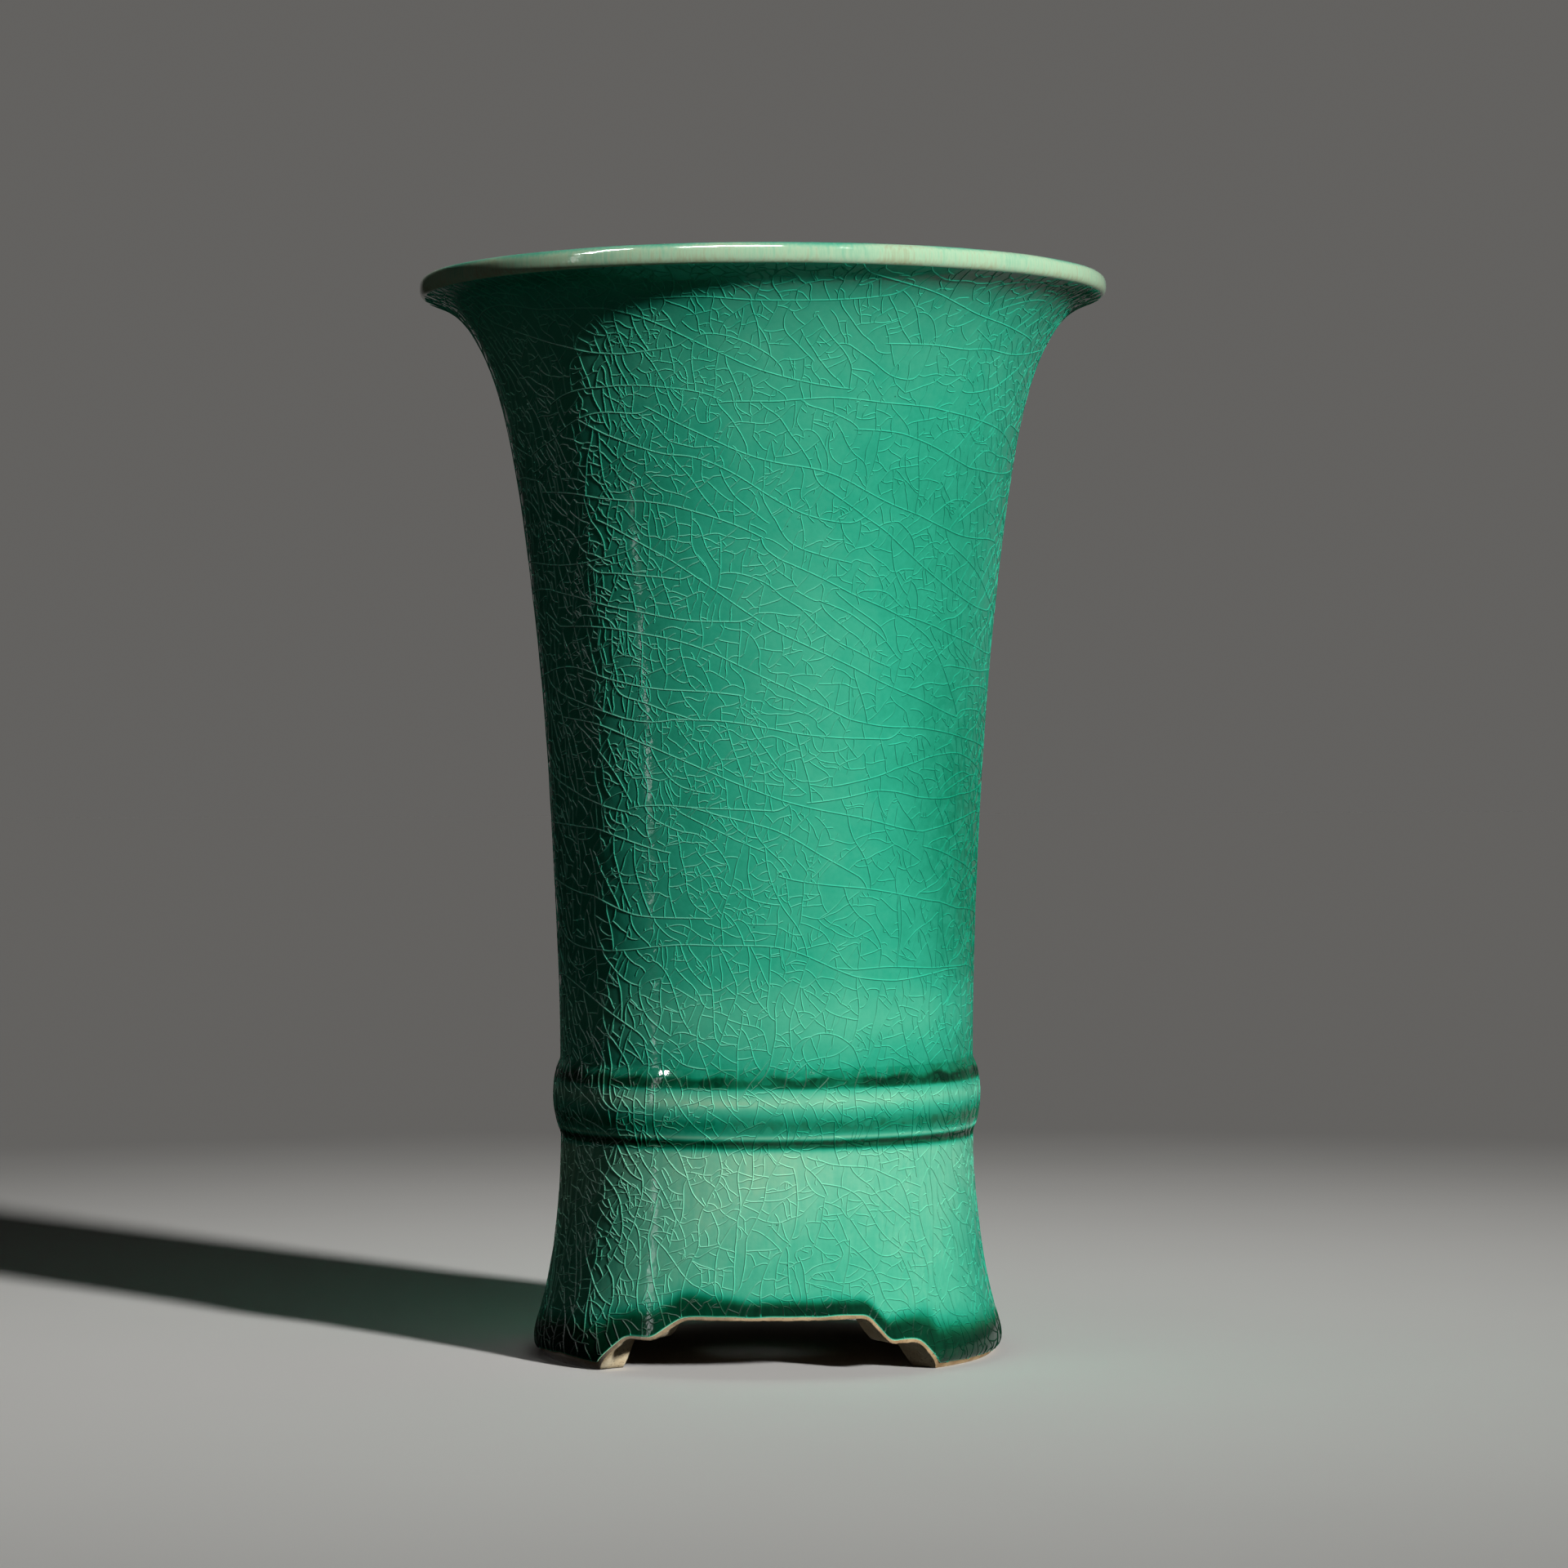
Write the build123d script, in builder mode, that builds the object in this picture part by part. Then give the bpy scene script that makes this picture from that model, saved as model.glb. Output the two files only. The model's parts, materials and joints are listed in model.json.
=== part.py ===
"""A tall glazed pot with a trumpet mouth, one luted waist band and a cut foot.

Built the way a potter builds it: the trumpet wall and the foot section are thrown apart and
luted rim to rim, a band of clay is run over the seam, a floor slab with a drain hole is set on
a ledge inside the foot section, and the clay is then coated with glaze, outside and inside.

Millimetres, +Z up. The origin is the middle of the ring the pot stands on, and the middles of
the two notches in the foot face -Y and +Y.
"""

import os
from math import asin, cos, degrees, radians, sin, tan

from build123d import *

os.makedirs("parts", exist_ok=True)

# ---- the whole pot ---------------------------------------------------------------------
overall_height = 242.0
mouth_radius = 77.5
wall = 4.4  # fired wall of the trumpet, clay and both coats
glaze = 0.45  # one coat of glaze

# ---- the lip: a bead on the end of the flare -------------------------------------------
lip_radius = 2.5  # half the height of the bead
lip_arris_angle = -50.0  # where the flare runs into the bead, from level outwards
flare_slope = 20.0  # how steeply the flare still climbs where it meets the bead

# ---- the waist and its band ------------------------------------------------------------
waist_radius = 46.7  # glazed face just above and just below the band
band_bottom = 49.6
band_top = 66.4
band_crest = 1.7  # how far the band stands out at its crest
band_lower_step = 0.6  # how far it stands out at its lower arris
band_lower_slope = 1.4  # height of the sloping face below that arris
band_upper_step = 0.8
band_upper_slope = 1.9
seam_height = 57.0  # where the two thrown sections meet, at the outside
seam_bevel = 2.0  # the seam rises this much towards the inside

# ---- the foot --------------------------------------------------------------------------
foot_radius = 53.0
foot_roll = 3.4  # radius of the roll at the foot's outer edge
foot_wall = 8.5  # thickness of the foot at its bottom
foot_inner_round = 1.0
glaze_line = 1.2  # the glaze stops this high above the ground

# ---- the floor and its drain hole ------------------------------------------------------
floor_height = 22.0  # top of the floor slab
floor_thickness = 6.0
ledge_width = 2.0  # the slab rests on a ledge this wide
drain_radius = 9.5
drain_round = 0.8  # sponged edge of the hole
drain_wipe = 1.5  # bare clay between the hole and the glaze on the floor
floor_corner_round = 2.5  # glaze pooled in the corner of the floor

# ---- the notches, cut by hand: angles are from the notch's middle ------------------------
notch_count = 2
notch_height = 12.2
notch_foot_angle = 46.8
notch_right = {"corner": 25.5, "root": 30.8, "edge": 39.5, "step": 6.4}
notch_left = {"corner": 21.0, "root": 28.5, "edge": 36.5, "step": 7.5}
notch_corner_round = 2.5
notch_edge_round = 1.5
notch_root_round = 0.8
notch_wipe = 0.6  # bare clay between the cut and the glaze

# Shape of the two outlines, as (share of the way up, share of the way out).
TRUMPET = (
    (0.0, 0.0),
    (0.23, 0.037),
    (0.445, 0.107),
    (0.618, 0.2),
    (0.748, 0.297),
    (0.834, 0.387),
    (0.897, 0.487),
    (0.945, 0.61),
    (0.98, 0.77),
    (1.0, 1.0),
)
FOOT = (
    (0.0, 1.0),
    (0.134, 0.786),
    (0.294, 0.492),
    (0.535, 0.214),
    (0.775, 0.05),
    (1.0, 0.0),
)

clay_waist = waist_radius - glaze
clay_bore = waist_radius - wall + glaze  # inside of the clay wall, waist and below
lip_centre = (mouth_radius - lip_radius, overall_height - lip_radius)
ledge_height = floor_height - floor_thickness
ledge_radius = clay_bore - ledge_width
foot_bore = foot_radius - foot_wall
lip_inner_angle = 90.0 + flare_slope  # where the bead runs into the inside of the mouth


def on_bead(depth, angle):
    """A point on the lip bead, depth below its glazed face, angle from level outwards."""
    radius = lip_radius - depth
    return (
        lip_centre[0] + radius * cos(radians(angle)),
        lip_centre[1] + radius * sin(radians(angle)),
    )


def sunk(line, points, depth):
    """Points moved square off a line by depth, towards the inside of the wall."""
    moved = []
    for point in points:
        along = line.tangent_at(Vector(*point))
        moved.append((point[0] - depth * along.Y, point[1] + depth * along.X))
    return moved


# ---- the two free curves of the outside, and the same curves at any depth in the wall ----
flare_end = on_bead(0.0, lip_arris_angle)
trumpet_stations = [
    (
        waist_radius + out * (flare_end[0] - waist_radius),
        band_top + up * (flare_end[1] - band_top),
    )
    for up, out in TRUMPET
]
foot_stations = [
    (
        waist_radius + out * (foot_radius - waist_radius),
        foot_roll + up * (band_bottom - foot_roll),
    )
    for up, out in FOOT
]
upright = (0.0, 1.0)
flare_way = (cos(radians(flare_slope)), sin(radians(flare_slope)))
trumpet_curve = Spline(*trumpet_stations, tangents=(upright, flare_way))
foot_curve = Spline(*foot_stations, tangents=(upright, upright))


def trumpet_points(depth):
    """The trumpet's line at a depth below the outside face, band top to lip arris."""
    points = sunk(trumpet_curve, trumpet_stations[:-1], depth)
    return points + [on_bead(depth, lip_arris_angle)]


def bore_points(depth):
    """The trumpet's line at a depth below the inside face, band top to lip crown."""
    points = sunk(trumpet_curve, trumpet_stations[:-1], wall - depth)
    return points + [on_bead(depth, lip_inner_angle)]


def foot_points(depth):
    """The foot's line at a depth below the outside face, foot roll to band bottom."""
    return sunk(foot_curve, foot_stations, depth)


def band_points(depth):
    """The corners and the crest of the band, depth below its glazed face, upwards."""
    face = waist_radius - depth
    lower = band_bottom + band_lower_slope
    upper = band_top - band_upper_slope
    return [
        (face, band_bottom),
        (face + band_lower_step, lower),
        (face + band_crest, (lower + upper) / 2),
        (face + band_upper_step, upper),
        (face, band_top),
    ]


def draw_band(depth):
    """The band's outside line inside a BuildLine block, upwards."""
    points = band_points(depth)
    Line(points[0], points[1])
    ThreePointArc(points[1], points[2], points[3])
    Line(points[3], points[4])


def draw_trumpet(depth):
    """The trumpet's outside line inside a BuildLine block, upwards."""
    Spline(*trumpet_points(depth), tangents=(upright, flare_way))


def draw_bore(depth):
    """The trumpet's inside line inside a BuildLine block, upwards."""
    Spline(*bore_points(depth), tangents=(upright, flare_way))


def draw_foot(depth):
    """The foot's outside line inside a BuildLine block, upwards."""
    Spline(*foot_points(depth), tangents=(upright, upright))


def on_roll(depth, angle):
    """A point on the roll at the foot's edge, depth below its glazed face."""
    return (
        foot_radius - foot_roll + (foot_roll - depth) * cos(radians(angle)),
        foot_roll + foot_roll * sin(radians(angle)),
    )


def draw_roll(depth, start):
    """The roll at the foot's edge inside a BuildLine block, from an angle up to level.

    The roll is as tall at every depth, so the coat on it thins out to nothing at the ground.
    """
    EllipticalCenterArc(
        (foot_radius - foot_roll, foot_roll),
        foot_roll - depth,
        foot_roll,
        start_angle=start,
        arc_size=-start,
    )


# ---- the notch cutter: a wedge from the axis outwards, stepped like a bracket -----------
notch_near = foot_bore / 2
notch_far = foot_radius * 1.5
notch_below = foot_roll  # the wedge starts this far under the ground


def notch_half(side, wipe):
    """One side of the cut as (angle, height), from the ground to the top, widened by wipe."""
    spread = degrees(wipe / foot_radius)
    return [
        (notch_foot_angle + spread, -notch_below),
        (notch_foot_angle + spread, wipe),
        (side["edge"] + spread, side["step"] + wipe),
        (side["root"] + spread, side["step"] + wipe),
        (side["corner"] + spread, notch_height + wipe),
    ]


def notch_outline(reach, wipe):
    """The outline of the cut where it is reach away from the axis, widened by wipe."""
    right = [
        (reach * tan(radians(angle)), height) for angle, height in notch_half(notch_right, wipe)
    ]
    left = [
        (-reach * tan(radians(angle)), height) for angle, height in notch_half(notch_left, wipe)
    ]
    return right + left[::-1]


def radial_edge(wedge, angle, height):
    """The edge of the wedge that runs outwards at one angle and height."""
    reach = (notch_near + notch_far) / 2
    return wedge.edges().sort_by_distance((reach * tan(radians(angle)), -reach, height))[0]


def notch_cutter(wipe):
    """The wedge that cuts one notch, with the rounds that the knife leaves in its corners."""
    spread = degrees(wipe / foot_radius)
    with BuildPart(mode=Mode.PRIVATE) as wedge:
        for reach in (notch_near, notch_far):
            with BuildSketch(Plane.XZ.offset(reach)):
                with BuildLine():
                    Polyline(*notch_outline(reach, wipe), close=True)
                make_face()
        loft(ruled=True)
        for way, side in ((1, notch_right), (-1, notch_left)):
            turns = (
                (side["corner"], notch_height, notch_corner_round),
                (side["edge"], side["step"], notch_edge_round),
                (side["root"], side["step"], notch_root_round),
            )
            for angle, height, turn_radius in turns:
                edge = radial_edge(wedge, way * (angle + spread), height + wipe)
                fillet(edge, turn_radius)
    return wedge.part


def cut_notches(wipe):
    """Cut every notch out of the part being built, widened by wipe."""
    cutter = notch_cutter(wipe)
    with PolarLocations(0, notch_count):
        add(cutter, mode=Mode.SUBTRACT)


# ---- the trumpet: thrown wall from the seam up to the clay of the lip --------------------
with BuildPart() as trumpet_body:
    with BuildSketch(Plane.XZ):
        with BuildLine():
            draw_trumpet(glaze)
            arc_size = lip_inner_angle - lip_arris_angle
            CenterArc(lip_centre, lip_radius - glaze, lip_arris_angle, arc_size)
            draw_bore(glaze)
            Polyline(
                (clay_bore, band_top),
                (clay_bore, seam_height + seam_bevel),
                (clay_waist, seam_height),
                (clay_waist, band_top),
            )
        make_face()
    revolve(axis=Axis.Z)

trumpet_body.part.label = "trumpet_body"
export_step(trumpet_body.part, "parts/trumpet_body.step")

# ---- the foot section: thrown ring with the floor's ledge inside and two notches ---------
with BuildPart() as foot_section:
    with BuildSketch(Plane.XZ):
        with BuildLine():
            draw_roll(glaze, -90.0)
            draw_foot(glaze)
            Polyline(
                (clay_waist, band_bottom),
                (clay_waist, seam_height),
                (clay_bore, seam_height + seam_bevel),
                (clay_bore, ledge_height),
                (ledge_radius, ledge_height),
                (foot_bore, foot_inner_round),
                (foot_bore + foot_inner_round, 0),
                (foot_radius - foot_roll, 0),
            )
        make_face()
    revolve(axis=Axis.Z)
    cut_notches(0.0)

foot_section.part.label = "foot_section"
export_step(foot_section.part, "parts/foot_section.step")

# ---- the band: a strip of clay run over the seam, its edges feathered out ----------------
with BuildPart() as waist_band:
    with BuildSketch(Plane.XZ):
        with BuildLine():
            draw_band(glaze)
            Line((clay_waist, band_top), (clay_waist, band_bottom))
        make_face()
    revolve(axis=Axis.Z)

waist_band.part.label = "waist_band"
export_step(waist_band.part, "parts/waist_band.step")

# ---- the floor: a slab on the ledge, with the drain hole in its middle -------------------
with BuildPart() as floor_plate:
    with BuildSketch(Plane.XY.offset(ledge_height)):
        Circle(clay_bore)
    extrude(amount=floor_thickness)
    with Locations(floor_plate.faces().sort_by(Axis.Z)[-1]):
        Hole(drain_radius)
    rims = floor_plate.edges().filter_by(GeomType.CIRCLE)
    rims = rims.filter_by(lambda edge: edge.radius < ledge_radius / 2)
    fillet(rims, drain_round)

floor_plate.part.label = "floor_plate"
export_step(floor_plate.part, "parts/floor_plate.step")

# ---- the coats: what is between the glazed face and the clay -----------------------------
glaze_start = -degrees(asin((foot_roll - glaze_line) / foot_roll))

with BuildPart() as outer_glaze:
    with BuildSketch(Plane.XZ):
        with BuildLine():
            for depth in (0.0, glaze):
                draw_roll(depth, glaze_start)
                draw_foot(depth)
                draw_band(depth)
                draw_trumpet(depth)
                arc_size = 90.0 - lip_arris_angle
                CenterArc(lip_centre, lip_radius - depth, lip_arris_angle, arc_size)
            Line(on_roll(0.0, glaze_start), on_roll(glaze, glaze_start))
            Line(on_bead(0.0, 90.0), on_bead(glaze, 90.0))
        make_face()
    revolve(axis=Axis.Z)
    cut_notches(notch_wipe)

outer_glaze.part.label = "outer_glaze"
export_step(outer_glaze.part, "parts/outer_glaze.step")

with BuildPart() as inner_glaze:
    with BuildSketch(Plane.XZ) as coat:
        with BuildLine():
            Line(on_bead(0.0, 90.0), on_bead(glaze, 90.0))
            CenterArc(lip_centre, lip_radius - glaze, 90.0, flare_slope)
            draw_bore(glaze)
            Polyline(
                (clay_bore, band_top),
                (clay_bore, floor_height),
                (drain_radius + drain_wipe, floor_height),
                (drain_radius + drain_wipe, floor_height + glaze),
                (clay_bore - glaze, floor_height + glaze),
                (clay_bore - glaze, band_top),
            )
            draw_bore(0.0)
            CenterArc(lip_centre, lip_radius, 90.0, flare_slope)
        make_face()
        corner = (clay_bore - glaze, floor_height + glaze)
        fillet(coat.vertices().sort_by_distance(corner)[0], floor_corner_round)
    revolve(axis=Axis.Z)

inner_glaze.part.label = "inner_glaze"
export_step(inner_glaze.part, "parts/inner_glaze.step")
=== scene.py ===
# %% [markdown]
# # A crackled green pot with a trumpet mouth
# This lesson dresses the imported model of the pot: glaze, crackle, bare clay, light and camera.
# Every shape is a function worked out with numpy on a whole grid at once. Lengths are in
# millimetres while a shape is worked out, and become metres when its mesh is made.

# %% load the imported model
import json

import bpy
import numpy as np
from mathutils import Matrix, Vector

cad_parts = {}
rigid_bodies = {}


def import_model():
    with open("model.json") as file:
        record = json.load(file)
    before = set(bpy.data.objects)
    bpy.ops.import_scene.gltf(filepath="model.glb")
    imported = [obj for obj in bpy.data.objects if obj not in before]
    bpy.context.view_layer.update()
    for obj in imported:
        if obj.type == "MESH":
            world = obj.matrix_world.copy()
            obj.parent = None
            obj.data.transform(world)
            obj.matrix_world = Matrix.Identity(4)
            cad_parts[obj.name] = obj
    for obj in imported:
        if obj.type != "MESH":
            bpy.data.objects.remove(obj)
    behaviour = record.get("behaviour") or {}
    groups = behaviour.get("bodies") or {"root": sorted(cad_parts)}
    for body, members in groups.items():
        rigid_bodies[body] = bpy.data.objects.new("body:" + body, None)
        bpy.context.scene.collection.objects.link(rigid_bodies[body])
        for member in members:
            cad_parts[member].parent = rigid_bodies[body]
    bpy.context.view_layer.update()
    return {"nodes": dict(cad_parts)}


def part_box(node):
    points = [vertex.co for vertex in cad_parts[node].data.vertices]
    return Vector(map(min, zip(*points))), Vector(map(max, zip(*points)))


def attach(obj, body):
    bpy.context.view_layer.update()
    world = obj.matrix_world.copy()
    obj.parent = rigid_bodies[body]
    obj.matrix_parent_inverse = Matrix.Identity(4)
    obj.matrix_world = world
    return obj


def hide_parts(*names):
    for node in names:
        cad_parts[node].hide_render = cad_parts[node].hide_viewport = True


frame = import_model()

# %% [markdown]
# ## Measures
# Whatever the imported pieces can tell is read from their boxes. The rest are the potter's own
# choices: how thick the coat is, how round the bead of the lip is, how the knife cut the foot.

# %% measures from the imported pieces, in millimetres
MM = 0.001
BAND_STANDS_OUT = 1.7
GLAZE_COAT = 0.45
WALL = 4.4
FLARE_START, FLARE_RISE = 200, 32  # from this height, and over this rise,
BORE_DRAWN_IN = 0.15  # the bore line moves this much further in, so that no clay shows


def reach_and_heights(node):
    """How far a node reaches from the axis, its lowest and its highest point, in mm."""
    low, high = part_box(node)
    return high.x / MM, low.z / MM, high.z / MM


mouth_radius, _, rim_height = reach_and_heights("outer_glaze")
band_radius, band_bottom, band_top = reach_and_heights("waist_band")
foot_clay_radius, _, _ = reach_and_heights("foot_section")
floor_radius, ledge_height, floor_height = reach_and_heights("floor_plate")
foot_radius = foot_clay_radius + GLAZE_COAT
waist_radius = band_radius - BAND_STANDS_OUT + GLAZE_COAT
bore_radius = floor_radius - GLAZE_COAT
print("waist", round(waist_radius, 2), "foot", round(foot_radius, 2),
      "bore", round(bore_radius, 2))

# %% choices of the potter
LIP_BEAD = 2.5  # radius of the bead
LIP_SQUARE = 2.6  # 2 would be a round bead, more is squarer
LIP_ARRIS = -55.0  # where the flare runs into the bead, in degrees from level
FLARE_SLOPE = 20.0  # degrees from level at the lip
FOOT_ROLL = 3.4  # radius of the foot's lower edge
DRAIN_RADIUS = 9.5
DRAIN_WIPE = 1.5  # the glaze stops this far from the drain hole
FLOOR_CORNER = 2.5  # radius between wall and floor
LEDGE_WIDTH = 2.0
FOOT_WALL = 8.5  # at the ground
SKIN_ROUNDING = 0.35  # width of the bell that rounds every break in the line
# Each station is (share of the way up, share of the way out).
TRUMPET = ((0, 0), (0.23, 0.037), (0.445, 0.107), (0.618, 0.2), (0.748, 0.297),
           (0.834, 0.387), (0.897, 0.487), (0.945, 0.61), (0.98, 0.77), (1, 1))
FOOT = ((0, 1), (0.134, 0.786), (0.294, 0.492), (0.535, 0.214), (0.775, 0.05), (1, 0))

# %% [markdown]
# ## The line of the pot
# A thrown pot is a line turned round an axis. The line is smooth where a rib shaped it and
# breaks where the band and the lip begin. A spline through a few stations gives the smooth
# runs, arcs give the band and the bead, and a little smoothing rounds the breaks, because
# molten glaze fills a corner and draws back from an edge.

# %% lines: splines, arcs and even steps
LINE_STEP = 0.05


def spline(points, first_way, last_way):
    """A line through the points that leaves and arrives in the given directions.

    Each run is the cubic with given ends and end directions. The directions at the inner
    points are the ones for which the bending is the same on both sides of each point.
    """
    points = np.array(points, float)
    run = np.hypot(*np.diff(points, axis=0).T)
    slope = np.diff(points, axis=0) / run[:, None]
    system, right = np.eye(len(points)), np.zeros((len(points), 2))
    right[0], right[-1] = first_way, last_way
    for i in range(1, len(points) - 1):
        before, after = 1 / run[i - 1], 1 / run[i]
        system[i, i - 1 : i + 2] = before, 2 * (before + after), after
        right[i] = 3 * (slope[i - 1] * before + slope[i] * after)
    way = np.linalg.solve(system, right)
    line = []
    for a, b, way_a, way_b, length in zip(points[:-1], points[1:], way[:-1], way[1:], run):
        t = np.linspace(0, 1, max(int(length / LINE_STEP), 2), endpoint=False)[:, None]
        line.append((1 + 2 * t) * (1 - t) ** 2 * a + t * (1 - t) ** 2 * length * way_a
                    + t * t * (3 - 2 * t) * b + t * t * (t - 1) * length * way_b)
    return np.concatenate(line + [points[-1:]])


def arc(centre, radius, start, end):
    """Points on a circle from one angle to another, in degrees from level outwards."""
    count = max(int(abs(np.radians(end - start)) * radius / LINE_STEP), 60)
    angle = np.radians(np.linspace(start, end, count))
    return np.stack([centre[0] + radius * np.cos(angle), centre[1] + radius * np.sin(angle)], 1)


def bead(start, end):
    """The bead of the lip: an arc pushed out to where |x|**n + |y|**n = 1, n its squareness."""
    line = arc((0, 0), 1.0, start, end)
    line /= (np.abs(line) ** LIP_SQUARE).sum(1, keepdims=True) ** (1 / LIP_SQUARE)
    return line * LIP_BEAD + bead_centre


def bow(chord_start, chord_end, rise):
    """The arc over an upright chord that stands out by rise from its middle."""
    half = np.hypot(*(np.array(chord_end) - chord_start)) / 2
    radius = (half * half + rise * rise) / (2 * rise)
    middle = (np.array(chord_start) + chord_end) / 2
    spread = np.degrees(np.arcsin(half / radius))
    tilt = np.degrees(np.arctan2(chord_start[0] - chord_end[0], chord_end[1] - chord_start[1]))
    inward = np.array([np.cos(np.radians(tilt)), np.sin(np.radians(tilt))])
    return arc(middle - (radius - rise) * inward, radius, tilt - spread, tilt + spread)


# %% the outside line and the inside line
def between(stations, out_from, out_to, up_from, up_to):
    """Stations given as shares, set between two radii and two heights."""
    return [(out_from + out * (out_to - out_from), up_from + up * (up_to - up_from))
            for up, out in stations]


bead_centre = (mouth_radius - LIP_BEAD, rim_height - LIP_BEAD)
arris = bead(LIP_ARRIS, LIP_ARRIS + 1)[0]
upright = (0.0, 1.0)
flare_way = (np.cos(np.radians(FLARE_SLOPE)), np.sin(np.radians(FLARE_SLOPE)))
foot_line = spline(between(FOOT, waist_radius, foot_radius, FOOT_ROLL, band_bottom),
                   upright, upright)
trumpet_stations = np.array(between(TRUMPET, waist_radius, arris[0], band_top, arris[1]))
trumpet_line = spline(trumpet_stations, upright, flare_way)
lower_arris = (waist_radius + 0.6, band_bottom + 1.4)
upper_arris = (waist_radius + 0.8, band_top - 1.9)
band_line = np.concatenate([
    [(waist_radius, band_bottom)],
    bow(lower_arris, upper_arris, BAND_STANDS_OUT - 0.7),
    [(waist_radius, band_top)],
])
roll_line = arc((foot_radius - FOOT_ROLL, FOOT_ROLL), FOOT_ROLL, -90, 0)
outside_line = np.concatenate([
    roll_line, foot_line[1:], band_line[1:], trumpet_line[1:],
    bead(LIP_ARRIS, 90)[1:],
])

bead_inside = bead(90, 90 + FLARE_SLOPE)
wall_way = np.gradient(trumpet_line, axis=0)
wall_way /= np.hypot(*wall_way.T)[:, None]
in_flare = np.clip(trumpet_line[:, 1:] - FLARE_START, 0, FLARE_RISE) / FLARE_RISE
wall = WALL + BORE_DRAWN_IN * in_flare
bore_stations = trumpet_line + wall * np.stack([-wall_way[:, 1], wall_way[:, 0]], 1)
bore_stations = bore_stations[np.searchsorted(trumpet_line[:, 1], trumpet_stations[:-1, 1])]
bore_line = spline([*bore_stations, bead_inside[-1]], upright, flare_way)
floor_corner = (bore_radius - FLOOR_CORNER, floor_height + GLAZE_COAT + FLOOR_CORNER)
inside_line = np.concatenate([
    bead_inside, bore_line[-2::-4],
    [(bore_radius, band_top - 2), (bore_radius, floor_corner[1])],
    arc(floor_corner, FLOOR_CORNER, 0, -90),
    [(DRAIN_RADIUS + DRAIN_WIPE, floor_height + GLAZE_COAT)],
])


# %% the skin: a line with even steps, its corners rounded
class Skin:
    """A glazed face: a line turned round the axis, addressed by angle and length along it."""

    def __init__(self, line, rounding):
        """Resample the line evenly, then average it with a bell of the rounding's width.

        The skin faces to the right of its line: outwards where the line climbs outside the
        pot, and towards the axis where it goes down inside.
        """
        line = line[np.r_[True, np.hypot(*np.diff(line, axis=0).T) > 1e-6]]
        length = np.r_[0, np.cumsum(np.hypot(*np.diff(line, axis=0).T))]
        self.along = np.linspace(0, length[-1], int(length[-1] / LINE_STEP) + 1)
        reach = int(4 * rounding / LINE_STEP)
        bell = np.exp(-0.5 * (np.arange(-reach, reach + 1) * LINE_STEP / rounding) ** 2)
        sides = [np.interp(self.along, length, side) for side in line.T]
        sides = [np.r_[2 * s[0] - s[reach:0:-1], s, 2 * s[-1] - s[-2 : -reach - 2 : -1]]
                 for s in sides]
        self.radius, self.height = [np.convolve(s, bell / bell.sum(), "valid") for s in sides]
        way = np.gradient(np.stack([self.radius, self.height]), axis=1)
        way /= np.hypot(*way)
        self.out, self.up = way[1], -way[0]

    def at_height(self, height):
        """The length along a climbing line at a height."""
        return np.interp(height, self.height, self.along)

    def place(self, theta, along, depth):
        """Points on the skin: out from the axis by the line's radius, less the depth.

        The angle theta is measured from the front, towards the right. The depth is taken
        square to the skin, and a slow swell of a few hundredths of a millimetre is added.
        """
        sunk = depth - swell(theta, along)
        radius = np.interp(along, self.along, self.radius)
        height = np.interp(along, self.along, self.height)
        radius = radius - sunk * np.interp(along, self.along, self.out)
        height = height - sunk * np.interp(along, self.along, self.up)
        return np.stack([radius * np.sin(theta), -radius * np.cos(theta), height], -1)

    def facing(self, theta, along, depth):
        """The direction a skin faces: across its two tangents, each from a small step."""
        nudge = 0.1
        right = self.place(theta + 0.002, along, depth) - self.place(theta - 0.002, along, depth)
        up = self.place(theta, along + nudge, depth) - self.place(theta, along - nudge, depth)
        normal = np.cross(right, up)
        return normal / np.linalg.norm(normal, axis=-1, keepdims=True)


def swell(theta, along):
    """The unevenness left by fingers and by thick glaze: four slow waves added up, in mm."""
    return (0.030 * np.sin(3 * theta + 0.05 * along + 1.0)
            + 0.022 * np.sin(7 * theta - 0.11 * along)
            + 0.014 * np.sin(19 * theta + 0.23 * along + 2.0)
            + 0.010 * np.sin(0.41 * along + 2 * np.sin(2 * theta)))


outside = Skin(outside_line, SKIN_ROUNDING)
inside = Skin(inside_line, SKIN_ROUNDING)
print("outside line", round(outside.along[-1], 1), "mm, inside", round(inside.along[-1], 1), "mm")

# %% landmarks along the outside line, as lengths
foot_end = outside.at_height(band_bottom)
lower_edge = outside.at_height(lower_arris[1])
upper_edge = outside.at_height(upper_arris[1])
band_end = outside.at_height(band_top)
flare_end = outside.at_height(arris[1])
crown = outside.along[-1]
print("foot to", round(foot_end, 1), "band to", round(band_end, 1),
      "flare to", round(flare_end, 1))

# %% [markdown]
# ## The cut in the foot
# Two bracket-shaped notches were cut with a knife through the soft foot, one in front and one
# behind. A notch is a height for each angle round the pot: flat over the middle, a sloping
# drop, a short step, and a second drop to the ground. Straight runs between corners are
# softened with the same bell, which is what a wet sponge does to the clay. The knife stood
# steeper on the side of the well, so each drop twists between its two edges.

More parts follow.
